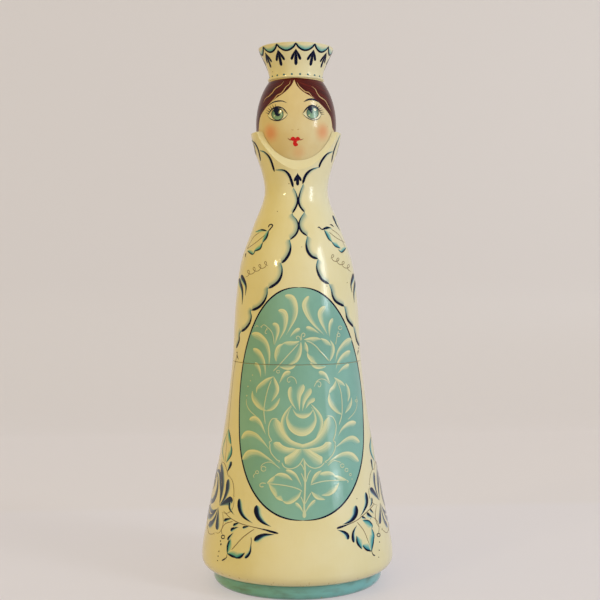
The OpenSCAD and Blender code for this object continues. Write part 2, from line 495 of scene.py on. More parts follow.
def even(t):
    """One width all along, with short round ends."""
    return max(0.1, min(1.0, math.sqrt(max(0.0, min(t, 1 - t)) * 14)))


def tongue(t):
    """A round head and a tail that stays half as broad."""
    return max(0.1, min(math.sqrt(7 * t), 1 - 0.5 * t, math.sqrt(max(0.0, 1 - t) * 9)))


def disc(t):
    return max(0.1, math.sqrt(max(0.0, 1 - (2 * t - 1) ** 2)))


shapes = (taper, drop, comma, swell, crescent, even, tongue, disc)
print("halfway widths:", {shape.__name__: round(shape(0.5), 2) for shape in shapes})

# %% Motifs
STROKE_STEP = 0.7 * MM
TOP_POINTS = 6
FILM = 0.05 * MM
DOME = 0.03 * MM
ROOT = -0.16 * MM
LAYER = 0.016 * MM
LAYERS = 5
SEAM_LIPS = (SEAM - 0.4 * MM, SEAM + 0.1 * MM)
motif_pieces = []


class Motif:
    """Brush strokes on one skin that share a paint, collected into one film of paint."""

    def __init__(self, name, skin, slots, lift=0.0):
        self.name = name
        self.skin = skin
        self.slots = slots
        self.lift = lift
        self.count = 0
        self.mesh = bmesh.new()
        self.marks = [self.mesh.verts.layers.float.new(mark) for mark in ("across", "along", "tone")]

    def evenly(self, path, step):
        """The same path with its points an even distance apart."""
        places = [self.skin.place(*point) for point in path]
        reached = [0.0]
        for a, b in zip(places, places[1:]):
            reached.append(reached[-1] + (b - a).length)
        count = max(6, round(reached[-1] / step))
        even_path, i = [], 0
        for k in range(count + 1):
            goal = reached[-1] * k / count
            while i < len(path) - 2 and reached[i + 1] < goal:
                i += 1
            share = (goal - reached[i]) / max(reached[i + 1] - reached[i], 1e-9)
            even_path.append(tuple(p + (q - p) * share for p, q in zip(path[i], path[i + 1])))
        return even_path

    def headings(self, path):
        """At each point of a path, the unit direction along the skin, aside and up."""
        found = []
        for i, (angle, z) in enumerate(path):
            before, after = path[max(i - 1, 0)], path[min(i + 1, len(path) - 1)]
            aside = (after[0] - before[0]) * self.skin.radius(z)
            up = after[1] - before[1]
            up *= math.hypot(1, (self.skin.radius(after[1]) - self.skin.radius(before[1])) / (up or 1))
            length = math.hypot(aside, up) or 1.0
            found.append((aside / length, up / length))
        return found

    def ring(self, rim, along, tone):
        """A closed ring of points round one line across a stroke: its domed top, then its underside."""
        base = self.lift + FILM + LAYER * (self.count % LAYERS)
        top, under = [], []
        for j, (angle, z) in enumerate(rim):
            across = j / (len(rim) - 1)
            height = base + DOME * (1 - (2 * across - 1) ** 2)
            top.append((self.skin.place(angle, z, height), across))
            under.append((self.skin.place(angle, z, ROOT), across))
        # A wide film's underside follows the wood; under a narrow stroke it may run straight across
        if len(rim) <= TOP_POINTS:
            under = [under[0], under[-1]]
        points = []
        for place, across in top + under[::-1]:
            point = self.mesh.verts.new(place)
            for mark, value in zip(self.marks, (across, along, tone)):
                point[mark] = value
            points.append(point)
        return points

    def skinned(self, rims):
        """Joins lines of places, each across a stroke or film, into one closed film of paint."""
        tone = (self.count * 0.618) % 1.0
        rings = [self.ring(rim, i / (len(rims) - 1), tone) for i, rim in enumerate(rims)]
        around = len(rings[0])
        top = len(rims[0]) - 1
        for one, other in zip(rings, rings[1:]):
            for j in range(around):
                after = (j + 1) % around
                face = self.mesh.faces.new((one[j], one[after], other[after], other[j]))
                face.smooth = j < top
        for ring in (rings[0], rings[-1]):
            self.mesh.faces.new(ring)
        self.count += 1

    def stroke(self, path, width, shape=taper, bright="left", hug=0.0):
        """A stroke this many millimetres wide. With hug 1 its bright edge lies on the path."""
        path = self.evenly(path, STROKE_STEP)
        headings = self.headings(path)
        if bright in ("outer", "inner"):
            pairs = zip(headings, headings[1:])
            bend = sum(a[0] * b[1] - a[1] * b[0] for a, b in pairs)
            bright = "right" if (bend > 0) == (bright == "outer") else "left"
        side = -1 if bright == "left" else 1
        shares = [j / (TOP_POINTS - 1) - 0.5 * (1 - hug) for j in range(TOP_POINTS)]
        rims = []
        for i, ((angle, z), (aside, up)) in enumerate(zip(path, headings)):
            wide = width * MM * shape(i / (len(path) - 1))
            steps = [side * wide * s for s in shares]
            rims.append([self.skin.moved(angle, z, -up * step, aside * step) for step in steps])
        self.skinned(rims)

    def dot(self, place, radius):
        """A round dab of paint."""
        ends = [self.skin.moved(*place, radius * MM * s, 0) for s in (-1, 1)]
        self.stroke(ends, 2 * radius, disc)

    def film(self, edge, other_edge, cuts):
        """A film of paint between two edges that have equally many points."""
        rims = []
        for a, b in zip(edge, other_edge):
            shares = [j / cuts for j in range(cuts + 1)]
            rims.append([tuple(p + (q - p) * s for p, q in zip(a, b)) for s in shares])
        self.skinned(rims)

    def piece(self, suffix, mesh, body, material):
        """Makes the film an object that rides on its half of the doll."""
        bmesh.ops.recalc_face_normals(mesh, faces=mesh.faces[:])
        for edge in mesh.edges:
            edge.smooth = edge.calc_face_angle(0.0) < SHARP_ANGLE
        data = bpy.data.meshes.new(self.name + suffix)
        mesh.to_mesh(data)
        mesh.free()
        data.materials.append(material)
        made = bpy.data.objects.new(self.name + suffix, data)
        scene.collection.objects.link(made)
        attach(made, body)
        motif_pieces.append(made)

    def finish(self, material):
        """Cuts the film at the seam where it crosses, and makes its piece or pieces."""
        if self.skin.body:
            self.piece("", self.mesh, self.skin.body, material)
            return
        halves = ((".lower", -1, "lower_half"), (".upper", 1, "upper_half"))
        for (suffix, side, body), lip, slot in zip(halves, SEAM_LIPS, self.slots):
            half = self.mesh.copy()
            everything = half.verts[:] + half.edges[:] + half.faces[:]
            level = Vector((0, 0, lip))
            cut = bmesh.ops.bisect_plane(
                half, geom=everything, plane_co=level, plane_no=(0, 0, -side), clear_outer=True)
            if half.faces:
                rim = [e for e in cut["geom_cut"] if isinstance(e, bmesh.types.BMEdge)]
                bmesh.ops.holes_fill(half, edges=rim)
                self.piece(suffix, half, body, material)
            else:
                half.free()
        self.mesh.free()


SHELLS = ("skirt_paint", "coat_paint")
FACE = ("face_paint",)
CROWN = ("crown_paint",)
print("brush ready: films of", round((FILM + DOME) / MM, 2), "mm")

# %% [markdown]
# ## Brush paints
# The blue strokes are laid with a brush that holds dark paint on one side and little on the other, so
# each goes from navy over teal into the cream. The medallion's strokes go from cream into turquoise.
# The bristles leave streaks along each stroke.

# %% Stroke paints
INK, INK_THIN = paint(0, 4, 38), paint(8, 34, 92)
BLUE, HAZE = paint(20, 82, 122), paint(156, 190, 180)
TEAL, AQUA, VEIN = paint(34, 124, 142), paint(112, 172, 164), paint(92, 62, 26)
PETAL, PETAL_WARM = paint(232, 221, 176), paint(218, 211, 160)
INK_GLOSS = 0.35
TONES_APART = 90


def mark(place, name):
    return place.node("ShaderNodeAttribute", {"attribute_name": name}, out="Fac")


def streaks(place, along, across, detail):
    """Streaks that run along a brush stroke, different for each stroke."""
    x, y = mark(place, "along") * along, mark(place, "across") * across
    values = {"X": x, "Y": y, "Z": mark(place, "tone") * TONES_APART}
    return place.node("ShaderNodeCombineXYZ", values=values).noise(1.0, detail)


def bristles(place):
    """The marks of a brush's bristles."""
    return streaks(place, 2.5, 8, 2)


def streaked_fade(place, low, high):
    """0 along a stroke's loaded edge and 1 where its paint has run out, with streaks between."""
    return (mark(place, "across") + (bristles(place) - 0.5) * 0.3).rise(low, high)


def ink(place):
    return (bristles(place).rise(0.45, 0.85) * 0.6).mix(INK, INK_THIN)


def thin_ink(place):
    """Ink thinned with teal."""
    return (0.4 + bristles(place).rise(0.35, 0.75) * 0.5).mix(INK, TEAL)


def edge_ink(place):
    """A line that starts teal and thin and soon turns to ink."""
    return mark(place, "along").rise(0.02, 0.4).mix(TEAL, ink(place))


def blue_fade(place):
    """Navy along the loaded edge, then blue, then a pale haze that runs out into the cream."""
    dark = streaked_fade(place, 0.36, 0.6).mix(ink(place), BLUE)
    wet = streaked_fade(place, 0.5, 0.74).mix(dark, HAZE)
    return streaked_fade(place, 0.64, 0.98).mix(wet, cream(place))


def coat_wash(place):
    """A thin wash of teal that runs out into the cream."""
    return (0.25 + streaked_fade(place, -0.1, 0.95) * 0.75).mix(TEAL, cream(place))


def crown_wash(place):
    """Teal at the line, then a paler tone, then the cream."""
    wet = streaked_fade(place, 0.0, 0.32).mix(TEAL, AQUA)
    return streaked_fade(place, 0.14, 0.82).mix(wet, cream(place))


def leaf_fade(place):
    """A thin dark edge, then teal, then a wide pale wash that runs out into the cream."""
    dark = streaked_fade(place, -0.02, 0.18).mix(ink(place), TEAL)
    wet = streaked_fade(place, 0.14, 0.4).mix(dark, AQUA)
    return streaked_fade(place, 0.3, 0.9).mix(wet, cream(place))


def petal(place):
    return bristles(place).rise(0.3, 0.7).mix(PETAL, PETAL_WARM)


def petal_fade(place):
    """Cream, soft at the loaded edge, that thins out across the stroke and a little along it."""
    across = mark(place, "across")
    left = (across + (bristles(place) - 0.5) * 0.5).rise(0.0, 1.05)
    cover = across.rise(0.0, 0.1) * (1 - left) * (0.92 - mark(place, "along") * 0.2)
    return (1 - cover).mix(petal(place), turquoise(place))


def petal_body(place):
    """A fuller stroke, cream over most of its width."""
    return (0.24 + streaked_fade(place, 0.05, 1.05) * 0.76).mix(petal(place), turquoise(place))


def petal_line(place):
    return (0.2 + bristles(place) * 0.5).mix(PETAL, turquoise(place))


def vein(place):
    return (bristles(place).rise(0.3, 0.8) * 0.45).mix(VEIN, cream(place))


ink_paint = lacquered("ink lines", ink, gloss=INK_GLOSS)
edge_paint = lacquered("edge lines", edge_ink, gloss=INK_GLOSS)
blue_paint = lacquered("blue strokes", blue_fade, gloss=INK_GLOSS)
teal_paint = lacquered("teal shade", coat_wash)
leaf_paint = lacquered("leaf edges", leaf_fade, gloss=INK_GLOSS)
crown_teal_paint = lacquered("crown teal", crown_wash)
thin_ink_paint = lacquered("thinned ink", thin_ink)
petal_paint = lacquered("cream plumes", petal_fade)
petal_body_paint = lacquered("cream petals", petal_body)
petal_line_paint = lacquered("cream lines", petal_line)
vein_paint = lacquered("brown veins", vein)
print("eleven stroke paints")

# %% [markdown]
# ## The crown
# A scalloped line runs round under the rim, with teal brushed up from it towards the edge. Under each
# point of the scallops hangs a three-stroke arrow, and dots run round the bead. The scallops repeat
# twelve times, so one loop with an angle paints them all.

# %% Crown ornament
SCALLOPS = 12
CROWN_START = -3.0
CUSP_HEIGHT, SCALLOP_DROP = 452.7, 5.7
ARROW_TOP, BARB_END, ARROW_END = 448.0, 439.6, 435.4
BARB_SPREAD = 3.9
SCALLOP_ROUND = 0.62
SCALLOP_WASH, SCALLOP_LINE, SHAFT_WIDTH, BARB_WIDTH = 6.2, 1.5, 2.8, 2.3
BEAD_DOTS, BEAD_DOT_HEIGHT, BEAD_DOT_RADIUS = 21, 428.4, 0.92
scallop_width = 360 / SCALLOPS
scallop_shade = Motif("crown_scallop_shade", crown_skin, CROWN)
scallop_line = Motif("crown_scallop_line", crown_skin, CROWN, LAYERS * LAYER)
arrows = Motif("crown_arrows", crown_skin, CROWN)
dots = Motif("crown_dots", crown_skin, CROWN)
for k in range(SCALLOPS):
    cusp = CROWN_START + k * scallop_width
    steps = [s / 12 for s in range(13)]
    drops_down = [SCALLOP_DROP * math.sin(math.pi * s) ** SCALLOP_ROUND for s in steps]
    arc = [(cusp + scallop_width * s, CUSP_HEIGHT - down) for s, down in zip(steps, drops_down)]
    scallop_shade.stroke(laid(*arc), SCALLOP_WASH, taper, "right", 1)
    scallop_line.stroke(laid(*arc), SCALLOP_LINE, even)
    shaft = laid((cusp, ARROW_TOP), (cusp, BARB_END), (cusp, ARROW_END))
    arrows.stroke(shaft, SHAFT_WIDTH, swell)
    for side in (-1, 1):
        spread = math.degrees(BARB_SPREAD * MM / crown_skin.radius(BARB_END * MM)) * side
        middle = (cusp + 0.48 * spread, (ARROW_TOP + BARB_END) / 2)
        path = laid((cusp + 0.05 * spread, ARROW_TOP - 0.4), middle, (cusp + spread, BARB_END))
        arrows.stroke(path, BARB_WIDTH, swell)
for k in range(BEAD_DOTS):
    around = math.radians(CROWN_START + (k + 0.5) * 360 / BEAD_DOTS)
    dots.dot((around, BEAD_DOT_HEIGHT * MM), BEAD_DOT_RADIUS)
scallop_shade.finish(crown_teal_paint)
scallop_line.finish(ink_paint)
arrows.finish(ink_paint)
dots.finish(thin_ink_paint)
print("crown:", SCALLOPS, "scallops and arrows,", BEAD_DOTS, "dots")

# %% [markdown]
# ## The face's ground
# The head is an egg, and everything on it is paint. Its cream is warmer than that of the dress, with
# rouge on both cheeks and a little on the chin. Rouge has no edge at all, so it isn't a film: it is
# mixed into the ground by the distance from three places.

# %% Face ground
FACE_CREAM, ROUGE = paint(210, 187, 138), paint(216, 100, 40)
FACE_CLOUDS, ROUGE_CORE = 25 * MM, 1 * MM
# Each entry: the pixel of the middle, the radius in millimetres and the strength
ROUGE_SPOTS = [((270.4, 132.8), 11.0, 0.58), ((322.8, 132.0), 10.5, 0.5), ((298.6, 152.0), 8.0, 0.22)]


def face(place):
    """The face's own cream, with rouge brushed into it."""
    ground = (place.noise(FACE_CLOUDS, 3).rise(0.35, 0.7) * 0.4).mix(FACE_CREAM, cream(place))
    for pixel, size, strength in ROUGE_SPOTS:
        middle = head_skin.place(*spot(*pixel))
        away = place.measured("DISTANCE", middle)
        ground = ((1 - away.rise(ROUGE_CORE, size * MM)) * strength).mix(ground, ROUGE)
    return ground


dress("head", lacquered("face lacquer", face))
print("rouge in", len(ROUGE_SPOTS), "places")

# %% [markdown]
# ## Hair
# The hair is one dark cap of paint, parted in the middle, that goes on round the back of the head. Many
# strokes would leave gaps, so each half is one film from the hairline up to the crown, and the brush
# shows as streaks in its colour. Two light strands lie over it on each side.

# %% Hair
HAIR, HAIR_DEEP, HAIR_WARM = paint(86, 16, 9), paint(52, 5, 5), paint(122, 48, 22)
STRAND = paint(212, 182, 128)
HAIR_GLOSS = 0.6
HAIR_STEP, HAIR_CUTS, HAIR_BEHIND = 0.8 * MM, 24, 40
HAIR_LEAST, HAIR_SWEEP, NAPE_FALL = 0.02 * MM, 1.1, 4
STRAND_WIDTH = 0.9
HAIR_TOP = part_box("crown")[0][2] - 0.1 * MM
HAIR_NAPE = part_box("upper_shell")[1][2] - 6 * MM
PARTING = (294.3, 79.5)
LEFT_HAIRLINE = [PARTING, (291, 85.7), (285, 92), (275, 99), (267.6, 105.7), (261.7, 114), (259.4, 121),
                 (258.6, 131)]
RIGHT_HAIRLINE = [PARTING, (297, 85.7), (303, 91.6), (312, 97), (319, 102.7), (325.7, 109.8),
                  (330.6, 117.4), (332.4, 128)]
STRANDS = [
    [(284, 81), (281, 85), (275.4, 88.6), (272.2, 93), (269, 96), (265.2, 99), (263.6, 103)],
    [(290.6, 80.4), (289.4, 84), (286, 86.8), (283.8, 90.2), (281, 93.4), (277.2, 95.2), (275, 98),
     (268.6, 104.6)],
    [(297, 82), (299, 86), (302, 89), (305, 91.4), (309, 92.8), (311, 95.4), (313.6, 97.6)],
    [(311, 86), (315, 89), (317, 93), (320, 97), (325, 100.6), (328, 106), (331, 112)]]


def hair(place):
    combed = streaks(place, 5, 30, 3)
    dark = combed.rise(0.35, 0.6).mix(HAIR_DEEP, HAIR)
    return (combed.rise(0.55, 0.8) * 0.6).mix(dark, HAIR_WARM)


def strand(place):
    return (bristles(place) * 0.5).mix(STRAND, HAIR_WARM)


hair_film = Motif("hair", head_skin, FACE)
strands = Motif("hair_strands", head_skin, FACE, LAYERS * LAYER)
for hairline, back in ((LEFT_HAIRLINE, -math.pi), (RIGHT_HAIRLINE, math.pi)):
    front = hair_film.evenly(traced(*hairline), HAIR_STEP)
    angle, z = front[-1]
    behind = [(s + 1) / HAIR_BEHIND for s in range(HAIR_BEHIND)]
    nape = [(angle + (back - angle) * s, z + (HAIR_NAPE - z) * min(1, NAPE_FALL * s)) for s in behind]
    line = [(angle, min(z, HAIR_TOP - HAIR_LEAST)) for angle, z in front + nape]
    reach = [(i / (len(line) - 1)) ** HAIR_SWEEP for i in range(len(line))]
    top = [(line[0][0] + (back - line[0][0]) * r, HAIR_TOP) for r in reach]
    hair_film.film(line, top, HAIR_CUTS)
for path in STRANDS:
    strands.stroke(traced(*path), STRAND_WIDTH, taper)
hair_film.finish(lacquered("hair paint", hair, gloss=HAIR_GLOSS))
strands.finish(lacquered("hair strands", strand))
print("hair from", round(HAIR_NAPE / MM, 1), "to", round(HAIR_TOP / MM, 1), "mm")

# %% [markdown]
# ## Eyes
# An eye is laid from the bottom up: the white, the iris, the pupil with the lids and lashes, and last
# the glints. The white and the iris are painted darker at the top, as painted shade under the upper
# lid, and the glints are painted highlights. A painter lets each layer dry. Here each one lies a little
# prouder than the one under it, so that no two of them share a surface.

# %% Eyes
EYE_WHITE, EYE_SHADE = paint(226, 218, 184), paint(196, 184, 140)
IRIS, IRIS_SHADE = paint(132, 166, 136), paint(56, 90, 76)
IRIS_SIZE = (5.9, 5.8)
OVAL_STEPS, EYE_CUTS, LIP_CUTS = 16, 8, 6
IRIS_LINE, UPPER_LID, LOWER_LID, LASH = 0.5, 1.35, 0.7, 0.55
EYES = {
    "left": {
        "upper": [(267.8, 115.4), (270.6, 111), (273.4, 108.4), (277.4, 107), (281.4, 107.8), (284.6, 110),
                  (287.8, 114.3)],
        "lower": [(267.8, 115.8), (270.2, 118.4), (273.2, 120), (277, 120.7), (281, 120), (284.6, 118),
                  (287.8, 114.5)],
        "iris": (277.6, 114.2), "pupil": (276.5, 110.2, 2.9, 2.9),
        "pupil_tail": (2.6, [(275.6, 110), (276.2, 113), (278.2, 115), (280.6, 114.2)]),
        "glints": [(280.4, 111.6, 1.35), (274.6, 115.8, 0.6)],
        "lashes": [((269.2, 113.6), (265.4, 112.6)), ((269.8, 112.0), (266.2, 110)),
                   ((270.8, 110.6), (267.8, 107.8)), ((272.2, 109.3), (270, 106)),
                   ((274, 108.2), (272.4, 104.8)), ((276, 107.4), (275.3, 104))]},
    "right": {
        "upper": [(302.8, 113.4), (305, 110.4), (308, 107.2), (311.6, 105.6), (315.6, 106.6), (318.2, 109),
                  (321.2, 114.2)],
        "lower": [(302.8, 113.8), (304.4, 115.4), (307.2, 117.8), (310.4, 119.4), (314, 120),
                  (318.4, 118.8), (321.2, 114.8)],
        "iris": (312.6, 112.8), "pupil": (310.2, 108.4, 2.2, 2.5),
        "pupil_tail": (1.6, [(310.6, 109), (310.9, 111), (311.6, 113.2)]),
        "glints": [(314.8, 109.6, 1.2), (309.2, 115.2, 0.6)],
        "lashes": [((320.2, 112.6), (324.2, 112)), ((319.4, 111), (323.4, 109.6)),
                   ((318.4, 109.6), (322, 107.4)), ((317, 108.2), (320, 105.6)),
                   ((315.4, 107), (317.4, 104)), ((320.6, 114), (324.4, 114.4))]}}


# The white goes from EYE_SHADE at the upper lid to EYE_WHITE at the lower lid: painted shade under the lid.
def eye_white(place):
    return mark(place, "across").rise(0.1, 0.9).mix(EYE_SHADE, EYE_WHITE)


# The iris is darker towards its top and lighter below: painted shade under the upper lid.
def iris_paint(place):
    return (bristles(place) * 0.4 + (1 - mark(place, "along")) * 0.6).rise(0.25, 0.75).mix(IRIS, IRIS_SHADE)


def outline_of(x, y, wide, tall, turn=0.0, count=20):
    """Pixels round an ellipse."""
    steps = [turn + 2 * math.pi * s / count for s in range(count + 1)]
    return [(x + wide * math.cos(a), y + tall * math.sin(a)) for a in steps]


def oval_film(motif, x, y, wide, tall):
    """A filled oval of paint at a pixel."""
    half = [math.pi * (s / OVAL_STEPS - 0.5) for s in range(OVAL_STEPS + 1)]
    left, right = (
        [spot(x + side * wide * math.cos(a), y + tall * math.sin(a)) for a in half] for side in (-1, 1))
    motif.film(left, right, EYE_CUTS)


whites = Motif("eye_whites", head_skin, FACE)
irises = Motif("irises", head_skin, FACE, 4 * LAYER)
pupils = Motif("pupils_and_lids", head_skin, FACE, 8 * LAYER)
# The glints are painted highlights: light dots laid on each eye.
glints = Motif("eye_glints", head_skin, FACE, 14 * LAYER)
for eye in EYES.values():
    whites.film(traced(*eye["upper"]), traced(*eye["lower"]), EYE_CUTS)
    oval_film(irises, *eye["iris"], *IRIS_SIZE)
    oval_film(pupils, *eye["pupil"])
    tail_width, tail = eye["pupil_tail"]
    pupils.stroke(traced(*tail), tail_width, taper)
    pupils.stroke(traced(*outline_of(*eye["iris"], *IRIS_SIZE)), IRIS_LINE, even)
    pupils.stroke(traced(*eye["upper"]), UPPER_LID, taper)
    pupils.stroke(traced(*eye["lower"]), LOWER_LID, taper)
    for lash in eye["lashes"]:
        pupils.stroke(traced(*lash), LASH, drop)
    for x, y, radius in eye["glints"]:
        glints.dot(spot(x, y), radius)
whites.finish(lacquered("eye white", eye_white))
irises.finish(lacquered("iris", iris_paint))
pupils.finish(ink_paint)
glints.finish(lacquered("eye glint", eye_white))
print("eyes:", list(EYES))

# %% [markdown]
# ## Brows, nose and lips
# A brow is one stroke that thins out at both ends, and the nose is no more than two pale strokes. The
# lips are filled shapes, so they are films between two edges, with a fine stroke out from each corner
# and one dab of light.

# %% Brows, nose and lips
LIP, LIP_DEEP, LIP_CORNER = paint(206, 20, 12), paint(176, 8, 8), paint(120, 40, 16)
NOSE = paint(176, 138, 86)
LIP_CORNER_WIDTH, NOSTRIL_WIDTH, LIP_GLINT_RADIUS = 0.9, 0.6, 0.6
BROWS = [(1.2, [(267.6, 106.4), (272, 102.9), (276, 101.4), (280.4, 100.9), (283.6, 101.4), (287, 103)]),
         (1.8, [(303.6, 102), (306.4, 100.3), (310, 99.3), (314, 99.6), (317.4, 101.2), (319.6, 103)])]
LIP_TOP = [(290.2, 139.6), (291.2, 137.6), (293, 136.7), (294.6, 137.4), (295.3, 138.3), (296.1, 137.4),
           (297.8, 136.7), (299.5, 137.6), (300.4, 139.4)]
LIP_LINE = [(290.2, 139.9), (291.6, 140.6), (293.2, 140.9), (294.4, 141.3), (295.3, 141.5), (296.3, 141.3),
            (297.5, 140.9), (299, 140.6), (300.4, 139.7)]
LOWER_LIP_TOP = [(293.4, 141), (294.6, 141.3), (295.8, 141.4), (296.8, 141.2)]
LOWER_LIP = [(292.9, 143.6), (293.8, 145.7), (295.8, 146.4), (298.2, 145.2)]
LIP_CORNERS = [[(291, 140.2), (289.2, 139.4), (287.4, 137.7)],
               [(299.8, 140.1), (302, 139.5), (303.7, 138.4)]]
LIP_GLINT = (297.4, 142.4)
NOSTRILS = [[(291.4, 129.2), (292.6, 130), (293.8, 129.6)], [(297, 129.4), (298.2, 129.6), (299.2, 128.6)]]


def lip_red(place):
    return bristles(place).rise(0.35, 0.7).mix(LIP, LIP_DEEP)


def corner_red(place):
    return (bristles(place) * 0.5).mix(LIP_CORNER, LIP_DEEP)


def nose_brown(place):
    return (bristles(place) * 0.6).mix(NOSE, face(place))


brows = Motif("brows", head_skin, FACE)
for wide, path in BROWS:
    brows.stroke(traced(*path), wide, taper)
lips = Motif("lips", head_skin, FACE)
lips.film(traced(*LIP_TOP), traced(*LIP_LINE), LIP_CUTS)
lips.film(traced(*LOWER_LIP_TOP), traced(*LOWER_LIP), LIP_CUTS)
corners = Motif("lip_corners", head_skin, FACE)
for path in LIP_CORNERS:
    corners.stroke(traced(*path), LIP_CORNER_WIDTH, drop)
nose = Motif("nose", head_skin, FACE)
for path in NOSTRILS:
    nose.stroke(traced(*path), NOSTRIL_WIDTH, taper)
# A light dab on the lower lip: a painted highlight.
lip_glint = Motif("lip_glint", head_skin, FACE, 5 * LAYER)
lip_glint.dot(spot(*LIP_GLINT), LIP_GLINT_RADIUS)
lip_glint.finish(lacquered("lip glint", eye_white))
brows.finish(ink_paint)
lips.finish(lacquered("lip red", lip_red))
corners.finish(lacquered("lip corners", corner_red))
nose.finish(lacquered("nose brown", nose_brown))
print("brows, nose and lips")

# %% [markdown]
# ## Coat and collar
# The coat is cream like the rest, and its edge is drawn: a row of scallops runs down each side of the
# front, from the collar to the waist. Each scallop is a dark line with teal brushed from it into the
# coat. The collar has the same scallops under its rim, and they go on round its back.

# %% Coat edges
LEFT_COAT = [
    [(293.5, 187.8), (296.2, 193.3), (297.6, 200.7), (296.2, 206.3), (292.5, 213.2)],
    [(293, 215.5), (296.7, 220.1), (298.5, 226.6), (296.2, 234), (290.2, 239.7)],
    [(289.8, 240.5), (290.7, 247), (289.3, 253.4), (285.6, 259.4), (281.6, 263.1)],
    [(281, 263.6), (282.2, 269.2), (281, 276.6), (276.8, 283), (268.5, 288.4)],
    [(267.5, 288.7), (267, 294.7), (263.8, 302), (258.3, 307.5), (251.9, 310.3)],
    [(250.5, 311.2), (251.4, 316.7), (249.6, 323.2), (245.4, 328.7), (241.3, 331.4)],
    [(239.5, 334.2), (239.2, 340.6), (236.3, 348)]]
RIGHT_COAT = [
    [(303.2, 184), (300.4, 191.5), (298.6, 199.8), (300, 206.3), (304.6, 212.3)],
    [(303.2, 214), (299.9, 220), (299.1, 225.7), (301.8, 231.7), (307.3, 236)],
    [(306.9, 238.6), (306.2, 245), (307.8, 251.6), (312, 256.7), (318, 258.8)],
    [(317.5, 260.8), (316.6, 266.4), (318, 272.9), (322.1, 279.8), (329, 284)],
    [(331.3, 290.1), (332.7, 296.5), (336.4, 302), (344.2, 306.2)],
    [(345.5, 311.2), (347.4, 319.5), (353.3, 326.8)],
    [(355.2, 334.2), (356.6, 340.6), (359.3, 345.7)]]
LEFT_COLLAR = [
    [(251.8, 140.3), (255.5, 144), (258.8, 151.4), (260.6, 161)],
    [(259.7, 150.5), (264.8, 152.3), (270.3, 158.8), (274.5, 171.8)],
    [(275.4, 170), (284.2, 170.4), (289.8, 176.4), (293.2, 187.5)]]
RIGHT_COLLAR = [
    [(340, 135.2), (337.4, 141.2), (333.7, 151.4), (331.4, 162.5)],
    [(332.8, 151.4), (326.8, 154.2), (321.2, 161.6), (318.8, 168)],
    [(318.6, 167.2), (311, 169.9), (305.5, 175.5), (302.7, 184)]]
SMALL_ARROW = [(2.7, [(297.6, 173), (297.6, 180), (297.6, 185.6)]),
               (1.9, [(297.3, 174), (295.8, 177.6), (294.4, 181.4)]),
               (1.9, [(297.9, 174), (299.6, 177.6), (301.1, 181.2)])]
COAT_ENDS = [((237, 352.4), [(236.7, 354.6), (237.5, 357), (238.6, 359.6)]),
             ((358.5, 348.2), [(358.4, 350.4), (357.8, 352.6), (357.6, 355.2)])]
BACK_COLLAR = (78.0, 282.0)
BACK_SCALLOPS, BACK_CUSP, BACK_DROP, BACK_ROUND = 9, 373.0, 9.0, 0.7
COAT_WASH, TOP_WASH, COAT_LINE, TOP_LINE = 5.6, 3.6, 2.2, 1.6
COLLAR_WASH, COLLAR_LINE = 3.2, 2.2
END_DOT, END_DROP = 0.8, 1.8
coat_shade = Motif("coat_edge_shade", body_skin, SHELLS)
coat_line = Motif("coat_edge_line", body_skin, SHELLS, LAYERS * LAYER)
for paths, loaded in ((LEFT_COAT, "left"), (RIGHT_COAT, "right")):
    for k, path in enumerate(paths):
        joined = traced(*(paths[k - 1][-1:] if k else []), *path)
        coat_shade.stroke(joined, COAT_WASH if k else TOP_WASH, even, loaded, 1)
        coat_line.stroke(joined, COAT_LINE if k > 1 else TOP_LINE, swell)
for paths, loaded in ((LEFT_COLLAR, "left"), (RIGHT_COLLAR, "right")):
    for path in paths:
        coat_shade.stroke(traced(*path), COLLAR_WASH, taper, loaded, 1)
        coat_line.stroke(traced(*path), COLLAR_LINE, swell)
for k in range(BACK_SCALLOPS):
    width = (BACK_COLLAR[1] - BACK_COLLAR[0]) / BACK_SCALLOPS
    steps = [s / 8 for s in range(9)]
    lower = [BACK_DROP * math.sin(math.pi * s) ** BACK_ROUND for s in steps]
    arc = [(BACK_COLLAR[0] + width * (k + s), BACK_CUSP - down) for s, down in zip(steps, lower)]
    coat_shade.stroke(laid(*arc), COLLAR_WASH, taper, "left", 1)
    coat_line.stroke(laid(*arc), COLLAR_LINE, swell)
arrow = Motif("collar_arrow", body_skin, SHELLS)
for wide, path in SMALL_ARROW:
    arrow.stroke(traced(*path), wide, swell)
arrow.finish(ink_paint)
coat_ends = Motif("coat_edge_ends", body_skin, SHELLS)
for start, end in COAT_ENDS:
    coat_ends.dot(spot(*start), END_DOT)
    coat_ends.stroke(traced(*end), END_DROP, drop)
coat_shade.finish(teal_paint)
coat_line.finish(edge_paint)
coat_ends.finish(ink_paint)
print("coat:", len(LEFT_COAT) + len(RIGHT_COAT), "scallops; collar:", 2 * len(LEFT_COLLAR) + BACK_SCALLOPS)

# %% [markdown]
# ## Leaves and sprigs
# Beside the coat's edges and under the medallion the painter set leaves and sprigs: drops laid with
# one turn of the brush, and leaf edges that fade inward. A leaf could be a filled shape, but inside it
# the cream is bare ground, so only its edges are laid. Each stroke is listed by the pixels of its
# turning points, and one loop lays it on the front and once more on the back.

# %% Drops and leaf edges
LEAF_WIDER = 1.8
DROP_HUG, EDGE_HUG = 0.25, 0.9
FAR_EDGE_WIDTH = 3.4
